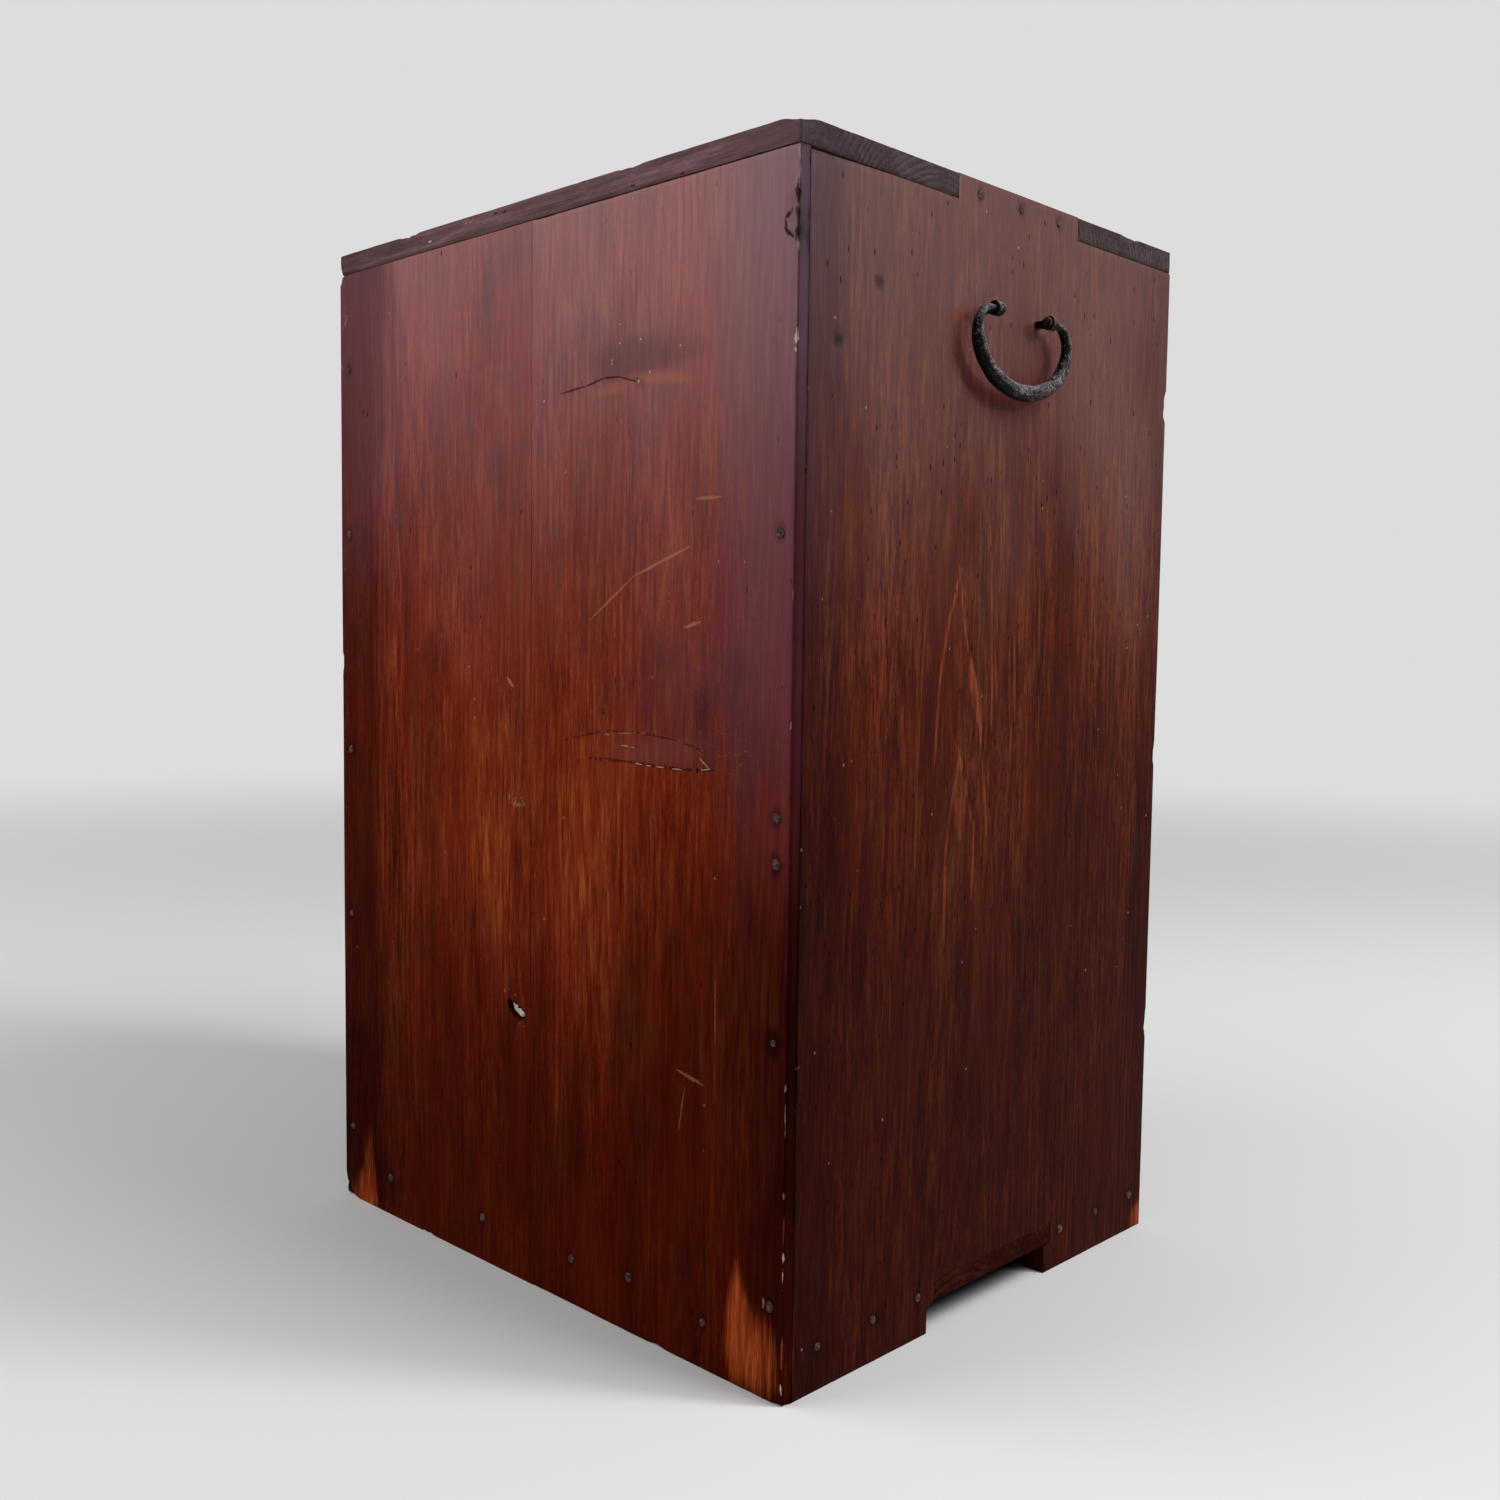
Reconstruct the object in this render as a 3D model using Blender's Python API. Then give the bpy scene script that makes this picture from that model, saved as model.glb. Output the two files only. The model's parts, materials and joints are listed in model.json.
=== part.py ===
"""Upright tea chest: a box-jointed case of thin cedar boards, a lift-out front panel and two iron bails.

Metres, +Z up. The origin is on the floor under the middle of the case. The front faces -Y and the back +Y.
"""

import math

import bmesh
import bpy
from mathutils import Matrix, Vector

# Case, outside sizes
HEIGHT = 0.606
WIDTH = 0.394
DEPTH = 0.333

# Case boards
SIDE_THICK = 0.013
TOP_THICK = 0.0125
BOTTOM_THICK = 0.0115
BACK_THICK = 0.007

# Gap between pieces that touch
FIT = 0.0003

# Box joint: a tab of each side stands through the top, and a tab of the bottom through each side
TAB_FROM_BACK = 0.119
TAB_WIDTH = 0.111

# Feet: each side is cut away under the bottom board, a little behind the tab
FOOT_HEIGHT = 0.0165
FINGER_GAP_SHIFT = 0.006
FINGER_GAP_ROUND = 0.0055

# Worn edges
CORNER_ROUND = 0.004
TOP_EDGE_ROUND = 0.003
OUTER_ARRIS = 0.0015
ARRIS = 0.0007

# Knot hole in the back, measured from the middle seam and the floor
KNOT_FROM_SEAM = 0.013
KNOT_HEIGHT = 0.156
KNOT_LENGTH = 0.0175
KNOT_BREADTH = 0.0078
KNOT_TILT = math.radians(25)
PATCH_LENGTH = 0.046
PATCH_BREADTH = 0.034
PATCH_THICK = 0.0006

# Grooves that hold the front panel, each made of two strips between the sides
STRIP_THICK = 0.011
UPPER_STRIP_HEIGHT = 0.018
SILL_STRIP_HEIGHT = 0.006

# Front panel: it lifts clear of the sill into the deep upper groove
PANEL_THICK = 0.009
PANEL_PLAY = 0.0005
PANEL_SIDE_PLAY = 0.0008
LIFT_SPARE = 0.002
LIFT_HEADROOM = 0.0005
BATTEN_THICK = 0.009
BATTEN_HEIGHT = 0.028
BATTEN_FROM_END = 0.055
BATTEN_INSET = 0.014
BATTEN_END_CHAMFER = 0.006
PULL_FROM_TOP = 0.150
PULL_LENGTH = 0.078
PULL_HEIGHT = 0.019
PULL_THICK = 0.0098
PULL_HOOK = 0.006
PULL_ROUND = 0.0018

# Shelf on two bearers
SHELF_CLEAR_BELOW = 0.262
SHELF_THICK = 0.009
SHELF_PLAY = 0.0006
SHELF_FRONT_GAP = 0.004
BEARER_THICK = 0.010
BEARER_HEIGHT = 0.015
BEARER_FRONT_SLOPE = 0.008

# Bail handles: distance of the axis from the top and from the side, and the two split-pin eyes
AXIS_FROM_TOP = 0.0653
AXIS_OUT = 0.009
EYE_SPACING = 0.0506
EYE_WIDTH = 0.0042
EYE_STRAP = 0.0015
EYE_PLAY = 0.0004
EYE_LEG_SLIT = 0.0006
EYE_NECK_ANGLE = math.radians(40)
EYE_CLINCH = 0.013

# Bail: a forged C, thick where the hand takes it and thin at the eyes
BAIL_HALF_SPAN = 0.041
BAIL_DROP = 0.040
BAIL_SHOULDER = 0.012
BAIL_GRIP_RADIUS = 0.0044
BAIL_TIP_RADIUS = 0.0019
BAIL_KNOB_RADIUS = 0.0027
BAIL_KNOB_LENGTH = 0.0028

LEFT, RIGHT = -1, 1
SIDE_NAMES = {LEFT: "left", RIGHT: "right"}
SHARP = math.radians(30)

# Places that several pieces share
INSIDE_HALF = WIDTH / 2 - SIDE_THICK
FRONT = -DEPTH / 2
BACK = DEPTH / 2
BACK_INSIDE = BACK - BACK_THICK
TAB_REAR = BACK - TAB_FROM_BACK
TAB_FRONT = TAB_REAR - TAB_WIDTH
FLOOR_TOP = FOOT_HEIGHT + BOTTOM_THICK
CEILING = HEIGHT - TOP_THICK
GROOVE_FRONT = FRONT + STRIP_THICK
GROOVE_BACK = GROOVE_FRONT + PANEL_THICK + 2 * PANEL_PLAY
PANEL_FRONT = GROOVE_FRONT + PANEL_PLAY
PANEL_BACK = PANEL_FRONT + PANEL_THICK
PANEL_LIFT = SILL_STRIP_HEIGHT + LIFT_SPARE
PANEL_BOTTOM = FLOOR_TOP + FIT
PANEL_TOP = CEILING - LIFT_HEADROOM - PANEL_LIFT
SHELF_BOTTOM = FLOOR_TOP + SHELF_CLEAR_BELOW
SHELF_FRONT = PANEL_BACK + FIT + BATTEN_THICK + SHELF_FRONT_GAP
AXIS_HEIGHT = HEIGHT - AXIS_FROM_TOP


def clear_scene():
    for obj in list(bpy.data.objects):
        bpy.data.objects.remove(obj, do_unlink=True)


def paint(name, colour, roughness, metallic=0.0):
    """A Principled material of one colour."""
    material = bpy.data.materials.new(name)
    material.use_nodes = True
    shader = material.node_tree.nodes["Principled BSDF"]
    shader.inputs["Base Color"].default_value = (*colour, 1.0)
    shader.inputs["Roughness"].default_value = roughness
    shader.inputs["Metallic"].default_value = metallic
    material.diffuse_color = (*colour, 1.0)
    return material


def filleted(corners, steps=4):
    """An outline from (u, v, radius) corners, with an arc wherever the radius isn't 0."""
    outline = []
    for index, (u, v, radius) in enumerate(corners):
        here = Vector((u, v))
        if radius == 0:
            outline.append(here)
            continue
        before = (Vector(corners[index - 1][:2]) - here).normalized()
        after = (Vector(corners[(index + 1) % len(corners)][:2]) - here).normalized()
        half = before.angle(after) / 2
        middle = here + (before + after).normalized() * radius / math.sin(half)
        start = here + before * radius / math.tan(half) - middle
        end = here + after * radius / math.tan(half) - middle
        turn = math.atan2(start.cross(end), start.dot(end))
        outline += [middle + Matrix.Rotation(turn * step / steps, 2) @ start for step in range(steps + 1)]
    return outline


def square(u0, v0, u1, v1):
    """The corners of a plain rectangle."""
    return [Vector(corner) for corner in ((u0, v0), (u1, v0), (u1, v1), (u0, v1))]


def placed(axis, u, v, along):
    """A point from its two coordinates in an outline's plane and its place along the axis."""
    return Vector({"X": (along, u, v), "Y": (u, along, v), "Z": (u, v, along)}[axis])


def sawn(outline, axis, low, high):
    """A board: the outline, extruded along the axis from low to high."""
    bm = bmesh.new()
    face = bm.faces.new([bm.verts.new(placed(axis, u, v, low)) for u, v in outline])
    grown = bmesh.ops.extrude_face_region(bm, geom=[face])["geom"]
    far = [item for item in grown if isinstance(item, bmesh.types.BMVert)]
    bmesh.ops.translate(bm, verts=far, vec=placed(axis, 0, 0, high - low))
    bmesh.ops.recalc_face_normals(bm, faces=bm.faces)
    return bm


def ease(bm, radius, segments, chosen=lambda middle: True):
    """Rounds the outward edges whose middle is chosen."""
    bm.normal_update()
    edges = []
    for edge in bm.edges:
        middle = (edge.verts[0].co + edge.verts[1].co) / 2
        if edge.is_convex and edge.calc_face_angle() > SHARP and chosen(middle):
            edges.append(edge)
    bmesh.ops.bevel(
        bm,
        geom=edges,
        offset=radius,
        offset_type="OFFSET",
        segments=segments,
        profile=0.5,
        affect="EDGES",
        clamp_overlap=True,
        material=-1,
    )


def make_object(name, bm, material, origin=(0, 0, 0)):
    """Turns a bmesh in world coordinates into a named object with its origin at a given point."""
    bmesh.ops.translate(bm, verts=bm.verts, vec=-Vector(origin))
    mesh = bpy.data.meshes.new(name)
    bm.to_mesh(mesh)
    bm.free()
    mesh.shade_smooth()
    mesh.set_sharp_from_angle(angle=SHARP)
    obj = bpy.data.objects.new(name, mesh)
    obj.location = origin
    if material:
        mesh.materials.append(material)
    bpy.context.scene.collection.objects.link(obj)
    return obj


def cut(board, name, bm):
    """Cuts a hole through a board with a hidden cutter."""
    cutter = make_object(name, bm, None)
    cutter.hide_render = True
    cutter.display_type = "WIRE"
    hole = board.modifiers.new(name, "BOOLEAN")
    hole.operation = "DIFFERENCE"
    hole.solver = "EXACT"
    hole.object = cutter


def plain_board(name, low, high, material, arris=ARRIS):
    """A straight board between two corners, with its arrises taken off."""
    bm = sawn(square(low[0], low[2], high[0], high[2]), "Y", low[1], high[1])
    ease(bm, arris, 1)
    return make_object(name, bm, material)


def eye_ends():
    """The middle of each eye along the depth, with its name."""
    return (("rear", EYE_SPACING / 2), ("front", -EYE_SPACING / 2))


def side_board(side, material):
    gap_rear = TAB_REAR + FINGER_GAP_SHIFT
    gap_front = TAB_FRONT + FINGER_GAP_SHIFT
    rear = BACK_INSIDE - FIT
    shoulder = CEILING - FIT
    ledge = FOOT_HEIGHT - FIT
    slot_top = FLOOR_TOP + FIT
    outline = filleted(
        [
            (rear, 0, 0),
            (gap_rear, 0, 0),
            (gap_rear, ledge, min(FINGER_GAP_ROUND, FINGER_GAP_SHIFT - FIT)),
            (TAB_REAR + FIT, ledge, 0),
            (TAB_REAR + FIT, slot_top, 0),
            (TAB_FRONT - FIT, slot_top, 0),
            (TAB_FRONT - FIT, ledge, 0),
            (gap_front, ledge, 0),
            (gap_front, 0, 0),
            (FRONT, 0, CORNER_ROUND),
            (FRONT, shoulder, 0),
            (TAB_FRONT, shoulder, 0),
            (TAB_FRONT, HEIGHT, 0),
            (TAB_REAR, HEIGHT, 0),
            (TAB_REAR, shoulder, 0),
            (rear, shoulder, 0),
        ]
    )
    inner, outer = side * INSIDE_HALF, side * WIDTH / 2
    bm = sawn(outline, "X", min(inner, outer), max(inner, outer))

    def on_outer_face(middle):
        return abs(middle.x - outer) < ARRIS

    ease(bm, TOP_EDGE_ROUND, 3, lambda m: on_outer_face(m) and m.z > HEIGHT - ARRIS)
    ease(bm, OUTER_ARRIS, 2, lambda m: on_outer_face(m) and m.y < FRONT + CORNER_ROUND)
    ease(bm, ARRIS, 1, lambda m: on_outer_face(m) and m.z < FOOT_HEIGHT - ARRIS)
    board = make_object(f"{SIDE_NAMES[side]}_side_board", bm, material)

    half_width = EYE_WIDTH / 2 + FIT
    half_height = EYE_STRAP + EYE_LEG_SLIT / 2 + FIT
    bottom, top = AXIS_HEIGHT - half_height, AXIS_HEIGHT + half_height
    reach = sorted((inner - side * SIDE_THICK, outer + side * SIDE_THICK))
    for end, middle in eye_ends():
        slot = square(middle - half_width, bottom, middle + half_width, top)
        cut(board, f"{SIDE_NAMES[side]}_{end}_eye_hole", sawn(slot, "X", *reach))


def top_board(material):
    notch = INSIDE_HALF - FIT
    rear, front = TAB_REAR + FIT, TAB_FRONT - FIT
    half = WIDTH / 2
    outline = filleted(
        [
            (-half, FRONT, CORNER_ROUND),
            (half, FRONT, CORNER_ROUND),
            (half, front, 0),
            (notch, front, 0),
            (notch, rear, 0),
            (half, rear, 0),
            (half, BACK, CORNER_ROUND),
            (-half, BACK, CORNER_ROUND),
            (-half, rear, 0),
            (-notch, rear, 0),
            (-notch, front, 0),
            (-half, front, 0),
        ]
    )
    bm = sawn(outline, "Z", CEILING, HEIGHT)

    def on_rim(middle):
        outside = abs(middle.x) > half - CORNER_ROUND or abs(middle.y) > BACK - CORNER_ROUND
        return outside and middle.z > HEIGHT - ARRIS

    ease(bm, TOP_EDGE_ROUND, 3, on_rim)
    make_object("top_board", bm, material)


def bottom_board(material):
    body, tab = INSIDE_HALF - FIT, WIDTH / 2
    rear = BACK_INSIDE - FIT
    outline = [
        Vector(corner)
        for corner in (
            (-body, FRONT),
            (body, FRONT),
            (body, TAB_FRONT),
            (tab, TAB_FRONT),
            (tab, TAB_REAR),
            (body, TAB_REAR),
            (body, rear),
            (-body, rear),
            (-body, TAB_REAR),
            (-tab, TAB_REAR),
            (-tab, TAB_FRONT),
            (-body, TAB_FRONT),
        )
    ]
    bm = sawn(outline, "Z", FOOT_HEIGHT, FLOOR_TOP)
    ease(bm, ARRIS, 1, lambda m: m.y < FRONT + ARRIS and m.z < FLOOR_TOP - ARRIS)
    make_object("bottom_board", bm, material)


def knot_outline(length, breadth):
    """An ellipse on the back, tilted as the knot was, in the plane of x and z."""
    tilt = Matrix.Rotation(KNOT_TILT, 2)
    middle = Vector((KNOT_FROM_SEAM, KNOT_HEIGHT))
    steps = 18
    turns = [2 * math.pi * step / steps for step in range(steps)]
    return [middle + tilt @ Vector((length / 2 * math.cos(t), breadth / 2 * math.sin(t))) for t in turns]


def back_board(side, material):
    seam, edge = side * FIT / 2, side * WIDTH / 2
    outline = filleted(
        [(seam, 0, 0), (edge, 0, CORNER_ROUND), (edge, CEILING - FIT, 0), (seam, CEILING - FIT, 0)]
    )
    bm = sawn(outline, "Y", BACK_INSIDE, BACK)

    def on_worn_edge(middle):
        low_or_outside = middle.z < CORNER_ROUND or abs(middle.x - edge) < CORNER_ROUND
        return middle.y > BACK - ARRIS and low_or_outside

    ease(bm, OUTER_ARRIS, 2, on_worn_edge)
    board = make_object(f"{SIDE_NAMES[side]}_back_board", bm, material)
    if side == RIGHT:
        knot = knot_outline(KNOT_LENGTH, KNOT_BREADTH)
        cut(board, "knot_hole", sawn(knot, "Y", BACK_INSIDE - BACK_THICK, BACK + BACK_THICK))


def knot_hole_patch(material):
    """Paper pasted over the knot hole inside the back."""
    inside = BACK_INSIDE - FIT
    low = (KNOT_FROM_SEAM - PATCH_LENGTH / 2, inside - PATCH_THICK, KNOT_HEIGHT - PATCH_BREADTH / 2)
    high = (KNOT_FROM_SEAM + PATCH_LENGTH / 2, inside, KNOT_HEIGHT + PATCH_BREADTH / 2)
    outline = filleted(
        [
            (low[0], low[2], CORNER_ROUND),
            (high[0], low[2], CORNER_ROUND),
            (high[0], high[2], CORNER_ROUND),
            (low[0], high[2], CORNER_ROUND),
        ]
    )
    make_object("knot_hole_patch", sawn(outline, "Y", low[1], high[1]), material)


def groove_strips(material):
    """The four strips whose two gaps are the panel's upper and lower grooves."""
    half = INSIDE_HALF - FIT
    upper = (CEILING - FIT - UPPER_STRIP_HEIGHT, CEILING - FIT)
    sill = (FLOOR_TOP + FIT, FLOOR_TOP + FIT + SILL_STRIP_HEIGHT)
    front = (FRONT, GROOVE_FRONT)
    rear = (GROOVE_BACK, GROOVE_BACK + STRIP_THICK)
    for name, (y0, y1), (z0, z1) in (
        ("upper_front_rail", front, upper),
        ("upper_rear_rail", rear, upper),
        ("sill_front_strip", front, sill),
        ("sill_rear_strip", rear, sill),
    ):
        plain_board(name, (-half, y0, z0), (half, y1, z1), material)


def front_panel(board_material, batten_material):
    """Two boards held edge to edge by two battens inside, with a hooked pull across the seam."""
    half = INSIDE_HALF - PANEL_SIDE_PLAY
    for side in (LEFT, RIGHT):
        edges = sorted((side * FIT / 2, side * half))
        low, high = (edges[0], PANEL_FRONT, PANEL_BOTTOM), (edges[1], PANEL_BACK, PANEL_TOP)
        plain_board(f"{SIDE_NAMES[side]}_panel_board", low, high, board_material)

    end = half - BATTEN_INSET
    near, far = PANEL_BACK + FIT, PANEL_BACK + FIT + BATTEN_THICK
    chamfer = min(BATTEN_END_CHAMFER, BATTEN_THICK / 2)
    plan = [
        Vector(corner)
        for corner in (
            (-end, near),
            (end, near),
            (end, far - chamfer),
            (end - chamfer, far),
            (-end + chamfer, far),
            (-end, far - chamfer),
        )
    ]
    heights = {
        "lower_panel_batten": PANEL_BOTTOM + BATTEN_FROM_END,
        "upper_panel_batten": PANEL_TOP - BATTEN_FROM_END,
    }
    for name, middle in heights.items():
        bm = sawn(plan, "Z", middle - BATTEN_HEIGHT / 2, middle + BATTEN_HEIGHT / 2)
        ease(bm, ARRIS, 1, lambda m: m.y > near + ARRIS)
        make_object(name, bm, batten_material)

    seat = PANEL_FRONT - FIT
    face = seat - PULL_THICK
    top = PANEL_TOP - PULL_FROM_TOP
    profile = [
        Vector(corner)
        for corner in (
            (seat, top),
            (seat, top - PULL_HEIGHT + PULL_HOOK),
            (face + PULL_THICK / 3, top - PULL_HEIGHT),
            (face, top - PULL_HEIGHT),
            (face, top - PULL_THICK / 3),
            (face + PULL_THICK / 3, top),
        )
    ]
    bm = sawn(profile, "X", -PULL_LENGTH / 2, PULL_LENGTH / 2)
    ease(bm, PULL_ROUND, 3, lambda m: m.y < seat - ARRIS)
    make_object("panel_pull", bm, board_material)


def shelf(material):
    rear = BACK_INSIDE - FIT - PATCH_THICK
    half = INSIDE_HALF - SHELF_PLAY
    low, high = (-half, SHELF_FRONT, SHELF_BOTTOM), (half, rear, SHELF_BOTTOM + SHELF_THICK)
    plain_board("shelf_board", low, high, material)

    top = SHELF_BOTTOM - FIT
    bottom = top - BEARER_HEIGHT
    profile = [
        Vector(corner)
        for corner in (
            (rear, bottom),
            (rear, top),
            (SHELF_FRONT, top),
            (SHELF_FRONT, top - BEARER_HEIGHT / 3),
            (SHELF_FRONT + BEARER_FRONT_SLOPE, bottom),
        )
    ]
    for side in (LEFT, RIGHT):
        wall = side * (INSIDE_HALF - FIT)
        edges = sorted((wall, wall - side * BEARER_THICK))
        bm = sawn(profile, "X", *edges)
        ease(bm, ARRIS, 1, lambda m: m.z < bottom + ARRIS)
        make_object(f"{SIDE_NAMES[side]}_shelf_bearer", bm, material)


def ribbon(path, thick):
    """The outline of a strip bent along a path in its plane, mitred at each bend."""
    near, far = [], []
    for index, point in enumerate(path):
        steps = []
        if index > 0:
            steps.append((point - path[index - 1]).normalized())
        if index < len(path) - 1:
            steps.append((path[index + 1] - point).normalized())
        along = sum(steps, Vector((0, 0))).normalized()
        across = Vector((-along.y, along.x)) * thick / 2 / along.dot(steps[0])
        near.append(point + across)
        far.append(point - across)
    return near + far[::-1]


def eye(side, end, middle, material):
    """A split pin: an iron strap looped round the bail's tip, its legs clinched inside the side board."""
    leg = (EYE_STRAP + EYE_LEG_SLIT) / 2
    ring = BAIL_TIP_RADIUS + EYE_PLAY + EYE_STRAP / 2
    inside = -(SIDE_THICK + FIT + EYE_STRAP / 2)
    neck_rise = ring * math.sin(EYE_NECK_ANGLE) - leg
    neck = AXIS_OUT - ring * math.cos(EYE_NECK_ANGLE) - neck_rise * math.tan(EYE_NECK_ANGLE)
    steps = 14
    sweep = math.pi - EYE_NECK_ANGLE
    angles = [sweep - 2 * sweep * step / steps for step in range(steps + 1)]
    path = [Vector((inside, leg + EYE_CLINCH)), Vector((inside, leg)), Vector((neck, leg))]
    path += [Vector((AXIS_OUT + ring * math.cos(a), ring * math.sin(a))) for a in angles]
    path += [Vector((neck, -leg)), Vector((inside, -leg)), Vector((inside, -leg - EYE_CLINCH))]

    def to_world(point):
        return Vector((side * (WIDTH / 2 + point.x), AXIS_HEIGHT + point.y))

    outline = [to_world(point) for point in ribbon(path, EYE_STRAP)]
    bm = sawn(outline, "Y", middle - EYE_WIDTH / 2, middle + EYE_WIDTH / 2)
    make_object(f"{SIDE_NAMES[side]}_{end}_eye", bm, material)


def bail_half():
    """(y, z, radius) from the knob at one tip to the lowest point, round the axis at y = z = 0."""
    knob_end = EYE_SPACING / 2 - EYE_WIDTH / 2 - EYE_PLAY
    knob_start = knob_end - BAIL_KNOB_LENGTH
    shoulder_start = BAIL_HALF_SPAN - BAIL_SHOULDER
    full_from, full_to, end_share = 0.25, 0.7, 0.7
    points = [
        (knob_start, 0, BAIL_KNOB_RADIUS * end_share),
        (knob_start + BAIL_KNOB_LENGTH * full_from, 0, BAIL_KNOB_RADIUS),
        (knob_start + BAIL_KNOB_LENGTH * full_to, 0, BAIL_KNOB_RADIUS),
        (knob_end, 0, BAIL_TIP_RADIUS),
        (shoulder_start, 0, BAIL_TIP_RADIUS),
    ]
    shoulder_steps, grip_steps = 6, 10
    total = shoulder_steps + grip_steps

    def radius(step):
        swell = math.sin(math.pi / 2 * step / total)
        return BAIL_TIP_RADIUS + (BAIL_GRIP_RADIUS - BAIL_TIP_RADIUS) * swell

    for step in range(1, shoulder_steps + 1):
        turn = math.pi / 2 * step / shoulder_steps
        y = shoulder_start + BAIL_SHOULDER * math.sin(turn)
        points.append((y, -BAIL_SHOULDER * (1 - math.cos(turn)), radius(step)))
    for step in range(1, grip_steps + 1):
        turn = math.pi / 2 * step / grip_steps
        z = -BAIL_SHOULDER - (BAIL_DROP - BAIL_SHOULDER) * math.sin(turn)
        points.append((BAIL_HALF_SPAN * math.cos(turn), z, radius(shoulder_steps + step)))
    return points


def bail(side, material):
    """A bevelled curve whose origin is on the axis through both eyes."""
    half = bail_half()
    points = half + [(-y, z, radius) for y, z, radius in half[-2::-1]]
    name = f"{SIDE_NAMES[side]}_bail"
    curve = bpy.data.curves.new(name, "CURVE")
    curve.dimensions = "3D"
    curve.bevel_depth = BAIL_GRIP_RADIUS
    curve.bevel_resolution = 4
    curve.use_fill_caps = True
    spline = curve.splines.new("POLY")
    spline.points.add(len(points) - 1)
    for point, (y, z, radius) in zip(spline.points, points):
        point.co = (0, y, z, 1)
        point.radius = radius / BAIL_GRIP_RADIUS
    curve.materials.append(material)
    obj = bpy.data.objects.new(name, curve)
    obj.location = (side * (WIDTH / 2 + AXIS_OUT), 0, AXIS_HEIGHT)
    bpy.context.scene.collection.objects.link(obj)


def tea_chest():
    clear_scene()
    stained = paint("stained_cedar", (0.120, 0.022, 0.012), 0.42)
    dark = paint("dark_cedar", (0.055, 0.028, 0.024), 0.60)
    bare = paint("bare_cedar", (0.330, 0.170, 0.085), 0.70)
    iron = paint("forged_iron", (0.045, 0.040, 0.038), 0.55, 0.75)
    paper = paint("pasted_paper", (0.560, 0.520, 0.480), 0.90)
    for side in (LEFT, RIGHT):
        side_board(side, stained)
        back_board(side, stained)
    top_board(dark)
    bottom_board(stained)
    knot_hole_patch(paper)
    groove_strips(stained)
    front_panel(stained, bare)
    shelf(bare)
    for side in (LEFT, RIGHT):
        for end, middle in eye_ends():
            eye(side, end, middle, iron)
        bail(side, iron)


tea_chest()
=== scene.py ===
# %% [markdown]
# # A tall tea chest in stained cedar
#
# The chest is a case of thin cedar boards: two sides, a back of two boards, a top and a bottom.
# The sides stand through the top and the bottom stands through the sides, as a box joint does.
# A front panel lifts out, and a forged bail hangs on each side.
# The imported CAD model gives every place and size. This lesson replaces its clean boards with
# worn ones, adds nails and hammered iron, and gives each piece a finish made of nodes.

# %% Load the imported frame
import json
import math
import random

import bmesh
import bpy
from mathutils import Matrix, Vector, kdtree, noise


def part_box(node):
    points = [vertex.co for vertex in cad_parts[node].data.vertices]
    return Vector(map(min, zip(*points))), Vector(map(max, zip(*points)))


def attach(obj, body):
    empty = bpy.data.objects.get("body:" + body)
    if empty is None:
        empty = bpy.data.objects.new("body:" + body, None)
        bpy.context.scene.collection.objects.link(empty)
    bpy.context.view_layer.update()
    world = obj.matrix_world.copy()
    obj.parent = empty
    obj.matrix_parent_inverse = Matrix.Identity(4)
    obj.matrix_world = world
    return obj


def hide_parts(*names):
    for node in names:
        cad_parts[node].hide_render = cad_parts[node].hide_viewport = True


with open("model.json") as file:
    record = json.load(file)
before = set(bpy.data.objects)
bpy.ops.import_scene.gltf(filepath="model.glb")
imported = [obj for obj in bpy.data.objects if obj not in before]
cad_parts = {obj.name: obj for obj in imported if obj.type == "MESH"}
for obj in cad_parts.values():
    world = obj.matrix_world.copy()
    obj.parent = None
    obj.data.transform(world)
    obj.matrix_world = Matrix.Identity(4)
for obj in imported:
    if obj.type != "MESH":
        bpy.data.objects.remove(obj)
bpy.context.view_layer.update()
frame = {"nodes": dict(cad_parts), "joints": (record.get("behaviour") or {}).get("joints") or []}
nodes = frame["nodes"]

# %% [markdown]
# ## Where the boards meet
#
# Most places can be read off the frame. The case is as wide and as high as its top board, and the
# inside faces are where the side and back boards end. The box joint and the finger gap are inside
# a board's outline, where a bounding box can't show them, so their few sizes are repeated here.

# %% Shared measures
top_low, top_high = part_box("top_board")
bottom_low, bottom_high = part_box("bottom_board")
side_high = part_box("left_side_board")[1]
back_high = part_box("left_back_board")[1]
panel_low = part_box("left_panel_board")[0]

HALF_WIDTH = top_high.x
FRONT = top_low.y
BACK = top_high.y
HEIGHT = top_high.z
CEILING = top_low.z
INSIDE_HALF = -side_high.x
FIT = CEILING - back_high.z
PANEL_FACE = panel_low.y
ON_FACE = 1e-4
CLOSE = 1e-6

TAB_FROM_BACK = 0.119
TAB_WIDTH = 0.111
TAB_REAR = BACK - TAB_FROM_BACK
TAB_FRONT = TAB_REAR - TAB_WIDTH
FINGER_GAP_SHIFT = 0.006
GAP_REAR = TAB_REAR + FINGER_GAP_SHIFT
GAP_FRONT = TAB_FRONT + FINGER_GAP_SHIFT
FINGER_GAP_ROUND = 0.0055
LEDGE = bottom_low.z - FIT
SLOT_TOP = bottom_high.z + FIT
SHOULDER = CEILING - FIT
LEFT, RIGHT = -1, 1
SIDE_NAMES = {LEFT: "left", RIGHT: "right"}
print("case", round(2 * HALF_WIDTH, 4), round(BACK - FRONT, 4), round(HEIGHT, 4))


def on_back(from_near_corner, height):
    """A point on the back face, measured from the corner that is nearest to the camera."""
    return Vector((from_near_corner - HALF_WIDTH, BACK, height))


def on_side(side, from_back, height):
    """A point on the outer face of a side board, measured from the back."""
    return Vector((side * HALF_WIDTH, BACK - from_back, height))


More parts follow.
